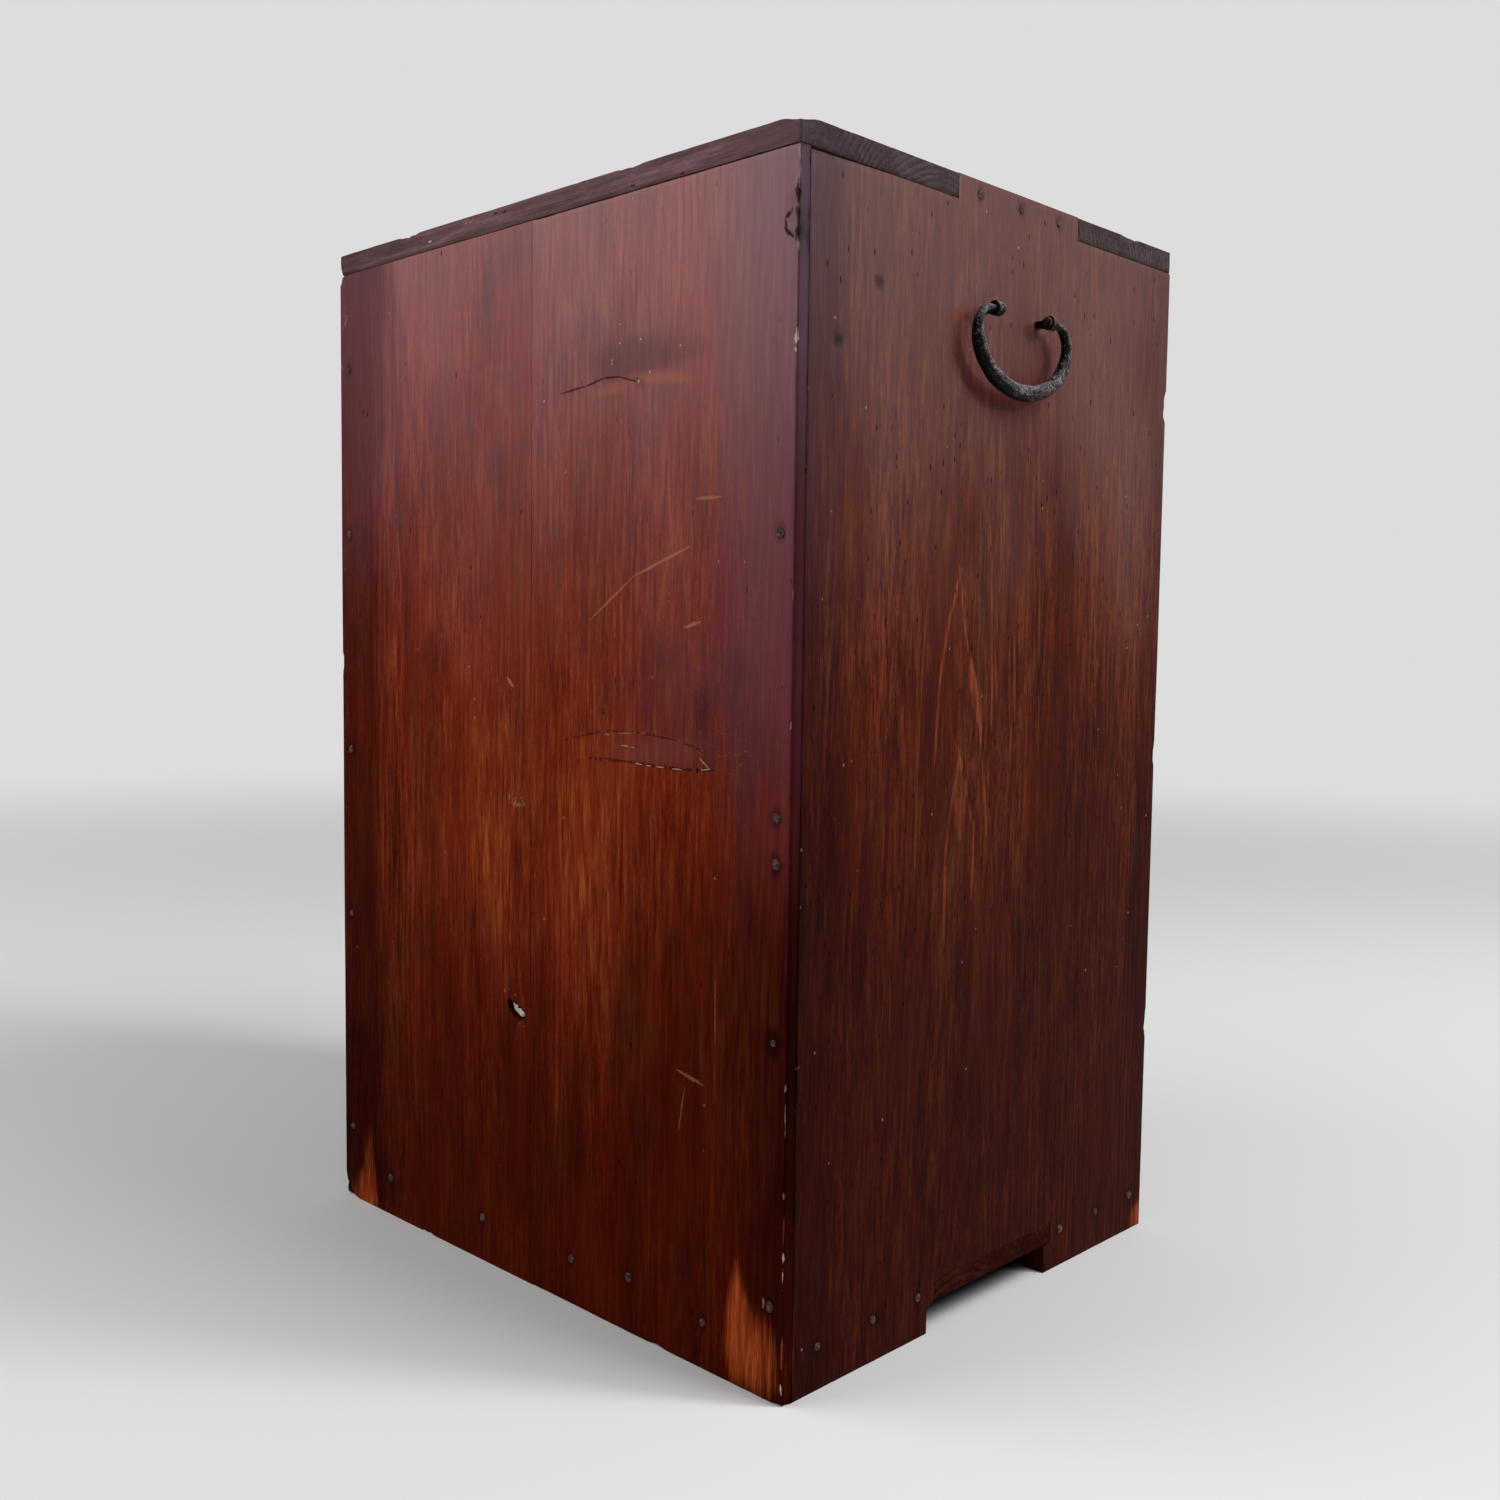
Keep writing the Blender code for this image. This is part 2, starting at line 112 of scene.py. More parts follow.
# %% [markdown]
# ## Camera
#
# The viewing angle was worked out from the six outer corners of the case: a wide lens close to the
# chest, held at about half its height, a little above level. Yaw, pitch and roll turn a
# camera that starts by looking along +Y.

# %% Place the camera
CAMERA_PLACE = Vector((-0.6745, 0.6842, 0.3701))
CAMERA_YAW = math.radians(135.742855)
CAMERA_PITCH = math.radians(-4.28433)
CAMERA_ROLL = math.radians(0.754779)
CAMERA_LENS = 36.425
CAMERA_SENSOR = 36.0

camera_data = bpy.data.cameras.new("camera")
camera_data.lens = CAMERA_LENS
camera_data.sensor_width = CAMERA_SENSOR
camera = bpy.data.objects.new("camera", camera_data)
bpy.context.scene.collection.objects.link(camera)
quarter_turn = math.pi / 2
aim = Matrix.Rotation(-CAMERA_YAW, 4, "Z") @ Matrix.Rotation(quarter_turn + CAMERA_PITCH, 4, "X")
camera.matrix_world = Matrix.Translation(CAMERA_PLACE) @ aim @ Matrix.Rotation(CAMERA_ROLL, 4, "Z")
bpy.context.scene.camera = camera
bpy.context.scene.view_settings.view_transform = "Standard"
print("camera at", [round(v, 3) for v in CAMERA_PLACE], "lens", CAMERA_LENS)

# %% [markdown]
# ## Shader sums as Python
#
# A finish is a picture made of sums, and sums read best as Python. Nodes could be placed and linked
# by hand, but a long sum would then fill a page. `Field` wraps one output socket and turns each
# operator into a Math node.


# %% Fields
class Field:
    """A value that changes over a surface: an output that can be added, scaled and compared."""

    def __init__(self, owner, socket):
        self.owner = owner
        self.socket = socket

    def __add__(self, other):
        return self.owner.math("ADD", self, other)

    def __sub__(self, other):
        return self.owner.math("SUBTRACT", self, other)

    def __rsub__(self, other):
        return self.owner.math("SUBTRACT", other, self)

    def __mul__(self, other):
        return self.owner.math("MULTIPLY", self, other)

    def __truediv__(self, other):
        return self.owner.math("DIVIDE", self, other)

    def __neg__(self):
        return self.owner.math("MULTIPLY", self, -1.0)

    def __abs__(self):
        return self.owner.math("ABSOLUTE", self)

    __radd__ = __add__
    __rmul__ = __mul__

    def most(self, other):
        return self.owner.math("MAXIMUM", self, other)

    def least(self, other):
        return self.owner.math("MINIMUM", self, other)

    def within(self):
        """The value held between 0 and 1."""
        return self.owner.node("ShaderNodeClamp", None, {"Value": self})

    def rise(self, low, high):
        """0 below low, 1 above high, and a smooth step between them."""
        settings = {"interpolation_type": "SMOOTHSTEP"}
        sockets = {"Value": self, "From Min": low, "From Max": high}
        return self.owner.node("ShaderNodeMapRange", settings, sockets)


print("fields ready")

# %% [markdown]
# `Network` adds every node to a tree through one method, which sets the node's settings first and
# then fills its sockets. `Finish` is the network of one material. It knows the Principled shader and
# the Object coordinates, so each pattern below is placed in metres on the chest itself.


# %% Networks and finishes
class Network:
    """The nodes of one tree."""

    def __init__(self, tree):
        self.tree = tree

    def node(self, kind, settings=None, sockets=None, output=0):
        """Adds a node: its settings first, then the values or links of its sockets."""
        made = self.tree.nodes.new(kind)
        for key, value in (settings or {}).items():
            if key == "stops":
                set_stops(made.color_ramp, value)
            else:
                setattr(made, key, value)
        for key, value in (sockets or {}).items():
            if isinstance(value, Field):
                self.tree.links.new(value.socket, made.inputs[key])
            else:
                made.inputs[key].default_value = value
        return Field(self, made.outputs[output])

    def math(self, operation, *operands):
        return self.node("ShaderNodeMath", {"operation": operation}, dict(enumerate(operands)))


class Finish(Network):
    """A material, its Principled shader and the nodes that feed it."""

    def __init__(self, name, **constants):
        self.material = bpy.data.materials.new(name)
        self.material.use_nodes = True
        super().__init__(self.material.node_tree)
        self.shader = self.tree.nodes["Principled BSDF"]
        self.place = self.node("ShaderNodeTexCoord", output="Object")
        self.x, self.y, self.z = self.parts(self.place)
        for socket, value in constants.items():
            self.shader.inputs[socket.replace("_", " ")].default_value = value

    def root(self, value):
        return self.math("SQRT", value)

    def arrows(self, operation, sockets, output=0):
        """Sums on whole vectors."""
        return self.node("ShaderNodeVectorMath", {"operation": operation}, sockets, output)

    def parts(self, vector):
        """The x, y and z of a vector."""
        split = self.node("ShaderNodeSeparateXYZ", None, {"Vector": vector}).socket.node
        return [Field(self, output) for output in split.outputs]

    def facing(self, axis):
        """How far the surface looks along x, y or z: from -1 to 1."""
        normal = self.node("ShaderNodeTexCoord", output="Normal")
        return self.parts(normal)["xyz".index(axis)]

    def vector(self, x, y, z):
        return self.node("ShaderNodeCombineXYZ", None, {"X": x, "Y": y, "Z": z})

    def grain(self, x, y, z, detail=2.0, roughness=0.5):
        """Noise between 0 and 1, most of it near a half."""
        place = self.vector(x, y, z)
        sockets = {"Vector": place, "Scale": 1.0, "Detail": detail, "Roughness": roughness}
        return self.node("ShaderNodeTexNoise", None, sockets)

    def spots(self, x, y, z, share, size):
        """Small round spots: a share of the cells of a Voronoi pattern each carry one."""
        place = self.vector(x, y, z)
        cells = self.node("ShaderNodeTexVoronoi", None, {"Vector": place, "Scale": 1.0})
        cell_colour = Field(self, cells.socket.node.outputs["Color"])
        pick = self.node("ShaderNodeSeparateColor", None, {"Color": cell_colour})
        chosen = pick.rise(1.0 - share, 1.0 - share * 0.8)
        return chosen * (1.0 - cells.rise(size * 0.5, size))

    def blend(self, factor, first, second, mode="MIX"):
        settings = {"data_type": "RGBA", "blend_type": mode}
        return self.node("ShaderNodeMix", settings, {0: factor, 6: first, 7: second}, output=2)

    def ramp(self, value, stops):
        return self.node("ShaderNodeValToRGB", {"stops": stops}, {"Fac": value})

    def feed(self, **sockets):
        """Links fields to the shader's sockets."""
        for key, value in sockets.items():
            self.tree.links.new(value.socket, self.shader.inputs[key.replace("_", " ")])

    def bump(self, height, strength, distance):
        sockets = {"Height": height, "Strength": strength, "Distance": distance}
        self.feed(Normal=self.node("ShaderNodeBump", None, sockets, output="Normal"))


def set_stops(ramp, stops):
    while len(ramp.elements) < len(stops):
        ramp.elements.new(0.5)
    for element, (position, colour) in zip(ramp.elements, stops):
        element.position = position
        element.color = colour


def hue(red, green, blue):
    return (red, green, blue, 1.0)


print("shader kit ready")

# %% [markdown]
# ## Cedar
#
# Sawn softwood shows three things at once: growth rings round the heart of the tree, fine fibres
# along the grain, and broad streaks where the stain sank in more or less. A flat picture would
# tear at every corner, so the pattern is solid: rings are distances from a heart line that runs
# along the board, a little askew. Cut through by the face, they give straight lines or tall
# flames, and cut through by an end they give end grain, with no further work.


# %% The grain
TONE_STOPS = (0.12, 0.5, 0.88)


class Cedar(Finish):
    """Solid cedar under a stain, without marks or wear."""

    def __init__(self, name, axes, heart, tones, ring_gain=0.3, contrast=1.0, shine=0.005):
        """axes: across, along and through the grain.
        heart: its place, depth and taper, and the width of a ring."""
        super().__init__(name, Specular_IOR_Level=shine, Coat_Roughness=0.36)
        across, along, through = (getattr(self, axis) for axis in axes)
        self.across = across
        self.along = along
        self.through = through

        place, depth, taper, ring_width = heart
        drift = self.grain(across * 8, along * 2.4, through * 8) - 0.5
        sway = self.grain(across * 50, along * 8, through * 50) - 0.5
        beside = across + drift * 0.022 + sway * 0.004 - place
        below = along * taper + through + depth
        reach = self.root(beside * beside + below * below)
        uneven = self.grain(reach * 70, along * 0.8, 0.0) - 0.5
        phase = self.math("FRACT", reach / ring_width + uneven * 2.4)
        line = phase.rise(0.15, 0.72) * (1.0 - phase.rise(0.84, 1.0))
        shown = self.grain(across * 30, along * 3.4, through * 30).rise(0.36, 0.66)
        self.hard = line * shown

        self.fibre = self.grain(across * 1000, along * 62, through * 1000, 3.0, 0.62)
        self.streak = self.grain((across + drift * 0.006) * 390, along * 27, through * 390, 3.0, 0.62)
        self.band = self.grain(across * 75, along * 8, through * 75, 3.0)
        self.cloud = self.grain(across * 13, along * 5, through * 13)
        self.flake = self.grain(across * 520, along * 300, through * 520, 3.0, 0.65)
        self.torn = (self.flake - 0.5) * 1.6
        self.shaken = (self.flake + self.streak - 1.0) * 0.5 + (self.band - 0.5) * 0.7
        fine = (self.fibre - 0.5) * 0.75 + (self.streak - 0.5) * 0.95 + (self.flake - 0.5) * 0.40
        broad = (self.band - 0.5) * 0.42 + (self.cloud - 0.5) * 0.40 + (self.hard - 0.2) * ring_gain
        lively = self.grain(across * 26 + 5.0, along * 9, through * 26).rise(0.25, 0.75) + 0.5
        self.tone = 0.5 + fine * lively * contrast + broad
        self.colour = self.toned(tones)
        self.rough = 0.50 + (self.fibre - 0.5) * 0.35
        self.relief = self.fibre * 0.7 + self.hard * 0.4 + self.streak * 0.5
        self.coat = None
        self.closed = 1.0

    def toned(self, tones):
        """The grain in three tones: dark, middle and light."""
        return self.ramp(self.tone, list(zip(TONE_STOPS, tones)))

    def tint(self, mask, colour):
        self.colour = self.blend(mask, self.colour, colour)

    def deepen(self, mask, filter_colour):
        """Multiplies the colour by a filter, as a glaze of stain or grime would."""
        self.colour = self.blend(mask, self.colour, filter_colour, "MULTIPLY")

    def margin(self, distance, width, soft=0.5):
        """A mask along an edge, uneven as the grain is: distance is 0 at the edge."""
        ragged = distance + (self.band - 0.5) * width * 0.7 + (self.streak - 0.5) * width * 0.4
        return 1.0 - ragged.rise(width * (0.8 - soft), width * (0.8 + soft))

    def blotch(self, seed, width, length, share, filter_colour):
        """Places where the stain took another tone: wider than a streak, with torn sides."""
        place = (self.across / width + seed, self.along / length, self.through / width)
        wide = self.grain(*place, detail=4.0, roughness=0.6)
        self.deepen((wide + (self.streak - 0.5) * 0.22).rise(0.50, 0.66) * share, filter_colour)

    def scales(self):
        """Cross grain of a branch: short lines across the board."""
        return self.grain(self.across * 130, self.along * 700, self.through * 130, 4.0, 0.7)


print("grain ready")

# %% [markdown]
# ## Marks in the wood
#
# Scratches, dashes, the lips of sawn branches and pin holes lie on the face of a board. A painted
# picture could hold them, but it would blur close up and tear at the edges. Here each mark is a
# distance: from a straight stroke between two points, or from the middle of an oval. Noise along the
# grain then frays its outline.


# %% Marks
PATCH_DEPTH = 0.005
STROKE_OVERLAP = 0.15
LIP_GLAZE = hue(0.40, 0.30, 0.30)
LIP_FLECK = hue(0.46, 0.34, 0.30)
PIN_HOLE = hue(0.16, 0.14, 0.14)
PALE_FLECK = hue(0.36, 0.27, 0.24)


class MarkedCedar(Cedar):
    """Cedar that can carry scratches, branches and pin holes."""

    def stroke(self, start, end, width):
        """How far a point is from a straight line that is thin at both ends: 0 on it, 1 at its side."""
        run = end - start
        offset = self.arrows("SUBTRACT", {0: self.place, 1: start})
        share = self.arrows("DOT_PRODUCT", {0: offset, 1: run / run.length_squared}, "Value").within()
        closest = self.arrows("SCALE", {0: run, "Scale": share})
        away = self.arrows("DISTANCE", {0: offset, 1: closest}, "Value")
        return away / (share * (1.0 - share) * (width * 2.8) + width * 0.3)

    def reach(self, points, width):
        """The same for a line through several points, whose strokes overlap."""
        overlap = STROKE_OVERLAP if len(points) > 2 else 0.0
        reach = None
        for start, end in zip(points, points[1:]):
            spare = (end - start) * overlap
            stroke = self.stroke(start - spare, end + spare, width)
            reach = stroke if reach is None else reach.least(stroke)
        return reach

    def trail(self, points, width):
        """A mask along a line through several points, with torn sides."""
        return 1.0 - (self.reach(points, width) + self.torn).rise(0.35, 1.0)

    def dashes(self, strokes, width, colour, share):
        """Short strokes of one colour: a list of pairs of points."""
        reach = self.stroke(*strokes[0], width)
        for start, end in strokes[1:]:
            reach = reach.least(self.stroke(start, end, width))
        self.tint((1.0 - (reach + self.torn).rise(0.35, 1.0)) * share, colour)

    def scratch(self, start, end, width, colour, share=0.8):
        mask = self.trail([start, end], width) * share
        self.tint(mask, colour)
        self.relief = self.relief - mask * 1.5
        self.rough = self.rough + mask * 0.2

    def patch(self, middle, half, tilt, soft=0.5, shake=1.0):
        """A soft uneven oval on the back: half is its half length and half height."""
        centred = self.node(
            "ShaderNodeMapping",
            {"vector_type": "TEXTURE"},
            {
                "Vector": self.place,
                "Location": middle,
                "Rotation": (0.0, -tilt, 0.0),
                "Scale": (half[0], PATCH_DEPTH, half[1]),
            },
        )
        away = self.arrows("LENGTH", {0: centred}, "Value")
        return 1.0 - (away + self.shaken * shake).rise(1.0 - soft, 1.0 + soft * 0.4)

    def lip(self, points, width, filter_colour=LIP_GLAZE):
        """The open edge of a sawn branch: a dark line through several points, with pale flecks."""
        mask = self.trail(points, width)
        self.deepen(mask * 0.9, filter_colour)
        self.tint(mask * self.flake.rise(0.58, 0.68) * 0.35, LIP_FLECK)
        self.relief = self.relief - mask * 1.5
        self.closed = (1.0 - mask * 0.8) * self.closed

    def pits(self, holes=0.05, flecks=0.05):
        """Dark pin strokes and pale flecks scattered over the face: the share of cells with one."""
        hole = self.spots(self.across * 210, self.along * 72, self.through * 210, holes, 0.17)
        fleck = self.spots(self.across * 170 + 31, self.along * 110, self.through * 170, flecks, 0.11)
        self.deepen(hole * 0.75, PIN_HOLE)
        self.tint(fleck * 0.5, PALE_FLECK)
        self.relief = self.relief - hole * 2.0 + fleck
        self.closed = (1.0 - hole) * self.closed


print("marks ready")

# %% [markdown]
# ## Lacquer and wear
#
# A thin coat of lacquer still shines high up on the chest and is gone near the floor. A painted
# attribute called `wear` adds what happened later. Red is stain rubbed off to bare wood, green is
# soot and grime, and blue is a warm place where the stain has thinned. The attribute is painted
# vertex by vertex further down, and the grain breaks up its soft edges.


# %% Lacquer and wear
GRIME_GLAZE = hue(0.30, 0.25, 0.26)
THIN_STOPS = (0.32, 0.50, 0.70)
RAW_CEDAR = (hue(0.210, 0.098, 0.044), hue(0.330, 0.170, 0.085), hue(0.450, 0.260, 0.150))
FIBRE_BUMP = 0.5
FIBRE_DEPTH = 0.0005


class StainedCedar(MarkedCedar):
    """Cedar under an old red-brown stain, with a thin coat of lacquer that has worn away."""

    def lacquer(self, low, high, least, most):
        """How much of the lacquer is left: little near the floor, more towards the top."""
        left = (self.z + (self.cloud - 0.5) * 0.16).rise(low, high)
        self.coat = (least + left * (most - least)) * (0.6 + self.streak * 0.8)

    def raw_inside(self, axis, outward, where=None):
        """Only the outside was stained: faces that point into the chest are bare."""
        inward = (self.facing(axis) * -outward).rise(0.7, 0.95)
        self.tint(inward if where is None else inward * where, self.toned(RAW_CEDAR))

    def worn(self, bare, pale, thin=None):
        """Reads the painted wear and closes the finish."""
        painted = self.node("ShaderNodeAttribute", {"attribute_name": "wear"}, output="Color")
        split = self.node("ShaderNodeSeparateColor", None, {"Color": painted}).socket.node
        rubbed, grime, warm = (Field(self, output) for output in split.outputs)
        strands = (self.streak - 0.5) * 2.4 + (self.fibre - 0.5) * 1.2 + (self.band - 0.5) * 0.8
        thinned = (warm + strands * 0.32).rise(0.10, 1.05) * warm.rise(0.02, 0.50)
        light_stops = list(zip(THIN_STOPS, thin or (bare, bare, pale)))
        self.tint(thinned * 0.95, self.ramp(self.streak * 0.6 + self.fibre * 0.4, light_stops))
        self.deepen((grime + (self.flake - 0.5) * 0.5).rise(0.1, 0.9), GRIME_GLAZE)
        chipped = rubbed + (self.flake - 0.5) * 1.5
        edge = chipped.rise(0.46, 0.62)
        self.tint(edge * 0.75, bare)
        self.tint(chipped.rise(0.66, 0.80) * 0.9, pale)
        self.rough = self.rough + edge * 0.2
        self.feed(Base_Color=self.colour, Roughness=self.rough)
        if self.coat is not None:
            self.feed(Coat_Weight=self.coat * self.closed * (1.0 - edge))
        self.bump(self.relief, FIBRE_BUMP, FIBRE_DEPTH)
        return self


print("cedar finish ready")

# %% [markdown]
# ## Stains
#
# The back and the sides were stained a deep red over cedar. Light wood under the stain shows
# orange, hard rings stay a little lighter than the soft wood between them, and the edges have
# gone purple and dull. The top is darker and greyer, because dust and sun got at it first.

# %% Stain colours
RED_STAIN = (hue(0.090, 0.0080, 0.0022), hue(0.182, 0.0210, 0.0050), hue(0.290, 0.0540, 0.0130))
BROWN_STAIN = (hue(0.030, 0.0040, 0.0020), hue(0.068, 0.0100, 0.0042), hue(0.130, 0.0300, 0.0110))
GREY_STAIN = (hue(0.050, 0.0220, 0.0240), hue(0.118, 0.0520, 0.0560), hue(0.210, 0.1100, 0.1150))
SOOTY_STAIN = (hue(0.018, 0.0050, 0.0036), hue(0.045, 0.0105, 0.0066), hue(0.085, 0.0260, 0.0140))
BARE_WOOD = hue(0.270, 0.070, 0.022)
WARM_WOOD = (hue(0.150, 0.0180, 0.0040), hue(0.265, 0.0400, 0.0085), hue(0.440, 0.1080, 0.0220))
PALE_WOOD = hue(0.520, 0.330, 0.210)
SCRATCH_TONE = hue(0.360, 0.140, 0.066)
PURPLE_BLOOM = hue(0.124, 0.037, 0.050)
EDGE_GLAZE = hue(0.42, 0.34, 0.36)
SOOT_GLAZE = hue(0.38, 0.50, 0.68)
# Grime and painted shade: the next glaze darkens the back and the panel towards the floor.
FLOOR_GRIME_AND_SHADE = hue(0.34, 0.22, 0.17)
# The next glaze darkens the sides towards the floor, as grime with painted shade, and the ends of the
# bottom.
DARKENING_GLAZE = hue(0.44, 0.31, 0.25)
RED_GLAZE = hue(0.96, 0.66, 0.50)
# Painted reflection: the next glaze reddens the wood where the bail's shadow falls.
RED_IN_BAIL_SHADOW = hue(1.10, 0.68, 0.70)
# Painted sheen: the next two veils make the upper back paler and purple.
PURPLE_SHEEN_VEIL = hue(0.310, 0.050, 0.060)
VIOLET_SHEEN_VEIL = hue(0.080, 0.024, 0.056)
# Painted sheen: the next veil makes the upper sides paler and greyer.
PAINTED_SHEEN_VEIL = hue(0.150, 0.088, 0.086)
BRUISE = hue(0.58, 0.74, 1.00)
EMBER = hue(1.00, 1.55, 1.30)
BOARD_END = hue(0.066, 0.040, 0.052)
END_GLAZE = hue(0.20, 0.18, 0.24)
CHIPPED = hue(0.600, 0.440, 0.350)
END_GRAIN = hue(0.34, 0.48, 0.50)
ORANGE_GLOW = hue(0.300, 0.062, 0.020)
# Painted highlight: the pale line along the upper part of the near arris.
PAINTED_ARRIS_HIGHLIGHT = hue(0.300, 0.230, 0.270)
CRACK_GLAZE = hue(0.06, 0.04, 0.04)
FAINT_LIP = hue(0.52, 0.42, 0.42)
SMUDGE = hue(0.058, 0.022, 0.032)
SCAR_GLAZE = hue(0.28, 0.24, 0.26)
DULL_VEIL = hue(0.040, 0.022, 0.035)
BRANCH_TONE = hue(0.130, 0.034, 0.030)
CLEAR_TONE = hue(0.220, 0.060, 0.056)
SCUFF_TONE = hue(0.300, 0.200, 0.170)
REAR_TONE = hue(0.052, 0.018, 0.022)
TOP_BARE = hue(0.150, 0.075, 0.050)
TOP_PALE = hue(0.300, 0.200, 0.150)
TOP_BROWN = hue(0.130, 0.046, 0.038)
FAR_END_DARKENING = hue(0.62, 0.58, 0.60)
print("stains", len(RED_STAIN), len(BROWN_STAIN), len(GREY_STAIN))

# %% [markdown]
# ## Finishes of the back
#
# The back is two boards with straight grain, so both take the same stain, a painted sheen high up
# and grime with painted shade low down. They differ in the heart line, in which edge has gone purple,
# and in how much shine is left. One function with those few values makes both, which keeps the two
# boards alike at the seam.


# %% Stain of the back
def back_finish(name, heart, edge, bloom_from, gloss, dull_edge):
    """edge: the x, width and softness of the outer edge.
    bloom_from: the height where that edge turns purple."""
    edge_at, edge_width, edge_soft = edge
    wood = StainedCedar(name, "xzy", heart, RED_STAIN, 0.14)
    wood.blotch(7.0, 0.020, 0.160, 0.45, BRUISE)
    wood.blotch(3.0, 0.026, 0.050, 0.58, BRUISE)
    wood.blotch(19.0, 0.011, 0.110, 0.55, EMBER)
    level = wood.z + (wood.cloud - 0.5) * 0.2
    # Painted sheen: the upper back is tinted paler and purple, as light catches it.
    wood.tint(level.rise(0.28, 0.46) * 0.17, VIOLET_SHEEN_VEIL)
    wood.tint(level.rise(0.42, 0.58) * 0.30, PURPLE_SHEEN_VEIL)
    margin = wood.margin(abs(wood.x - edge_at), edge_width, edge_soft)
    high = level.rise(bloom_from, bloom_from + 0.20)
    wood.tint(margin * high * 0.75, PURPLE_BLOOM)
    wood.deepen(margin * (1.0 - high) * 0.8, EDGE_GLAZE)
    wood.deepen(margin * dull_edge * 0.45, EDGE_GLAZE)
    # Darker towards the floor: grime, and painted shade where less light reaches.
    low = (level + (wood.band - 0.5) * 0.1).rise(0.06, 0.37)
    wood.deepen(1.0 - low, FLOOR_GRIME_AND_SHADE)
    wood.pits(0.10, 0.06)
    wood.lacquer(0.28, 0.64, 0.01, gloss)
    board_end = abs(wood.facing("x")).rise(0.75, 0.95)
    wood.deepen(board_end * wood.z.rise(0.05, 0.16) * 0.85, END_GLAZE)
    wood.tint(board_end * level.rise(0.40, 0.55) * 0.85, BOARD_END)
    wood.coat = wood.coat * (1.0 - board_end * 0.9) * (1.0 - margin * dull_edge)
    return wood


def line_on_back(points):
    return [on_back(*point) for point in points]


def strokes_on_back(strokes):
    return [line_on_back(stroke) for stroke in strokes]


def scratch_back(wood, *scratches):
    for start, end, width, share in scratches:
        wood.scratch(on_back(*start), on_back(*end), width, SCRATCH_TONE, share)


near_heart = (-0.47, 0.03, 0.01, 0.0046)
near_edge = (-HALF_WIDTH, 0.050, 0.5)
near_back = back_finish("stained_near_back", near_heart, near_edge, 0.16, 0.60, 0.0)
cross_grain = near_back.scales()
print("near back stained")

# %% [markdown]
# ## Sawn branches
#
# A branch was sawn along its length in two places on the near board. It left scaly cross grain above
# a fine dark lip, with a dull or sooty patch round it. Carving it would cost a dense mesh for a
# hollow that is thinner than a nail, so ovals tint the wood, lines through a few points
# draw the lip, and the bump adds the scales. All places are measured from the near corner
# and the floor.

# %% Upper branch
UPPER_LIP = ((0.169, 0.4983), (0.150, 0.5000), (0.136, 0.5026), (0.124, 0.5019), (0.112, 0.4985))
right_glow = near_back.patch(on_back(0.094, 0.4985), (0.026, 0.0036), 0.12, 0.8)
left_glow = near_back.patch(on_back(0.127, 0.4972), (0.019, 0.0036), -0.10, 0.8)
near_back.tint(right_glow * 0.55, ORANGE_GLOW)
near_back.tint(left_glow * 0.35, ORANGE_GLOW)
smudge = near_back.patch(on_back(0.108, 0.5085), (0.054, 0.0150), 0.08, 0.6, 0.40)
upper_smudge = near_back.patch(on_back(0.130, 0.5210), (0.030, 0.0150), 0.0, 0.8, 0.5)
smudge = smudge.most(upper_smudge * 0.35)
lower_side = near_back.z + (near_back.x + HALF_WIDTH - 0.110) * 0.10 + near_back.torn * 0.0012
smudge = smudge * lower_side.rise(0.4965, 0.5050)
scaly = (0.15 + cross_grain * 0.8 + near_back.torn * 0.6).within()
near_back.deepen(smudge * scaly * 0.62, SOOT_GLAZE)
near_back.tint(smudge * 0.20, SMUDGE)
near_back.closed = 1.0 - smudge * 0.25
near_back.relief = near_back.relief + smudge * cross_grain * 1.6
near_back.lip(line_on_back(UPPER_LIP), 0.0008)
scar = near_back.patch(on_back(0.1096, 0.4978), (0.0062, 0.0030), 0.35)
near_back.deepen(scar * (0.55 + near_back.torn * 1.4).within() * 0.9, SCAR_GLAZE)
UPPER_SPECKS = (
    ((0.1302, 0.5110), (0.1295, 0.5108)),
    ((0.1302, 0.5091), (0.1296, 0.5089)),
    ((0.1010, 0.5020), (0.1001, 0.5017)),
    ((0.1243, 0.5189), (0.1236, 0.5187)),
    ((0.1244, 0.5285), (0.1238, 0.5282)),
    ((0.1082, 0.5190), (0.1074, 0.5187)),
    ((0.0786, 0.5123), (0.0779, 0.5120)),
    ((0.1865, 0.4957), (0.1859, 0.4953)),
    ((0.1094, 0.4988), (0.1088, 0.4975)),
)
near_back.dashes(strokes_on_back(UPPER_SPECKS), 0.0009, CHIPPED, 0.50)
print("upper branch:", len(UPPER_LIP), "points,", len(UPPER_SPECKS), "specks")

# %% Lower branch
LOWER_LIP = ((0.1453, 0.3041), (0.1192, 0.3045), (0.0916, 0.3035), (0.0730, 0.3031), (0.0542, 0.3044))
TOP_LIP = ((0.1649, 0.3134), (0.1337, 0.3194), (0.1055, 0.3200), (0.0796, 0.3177), (0.0593, 0.3135))
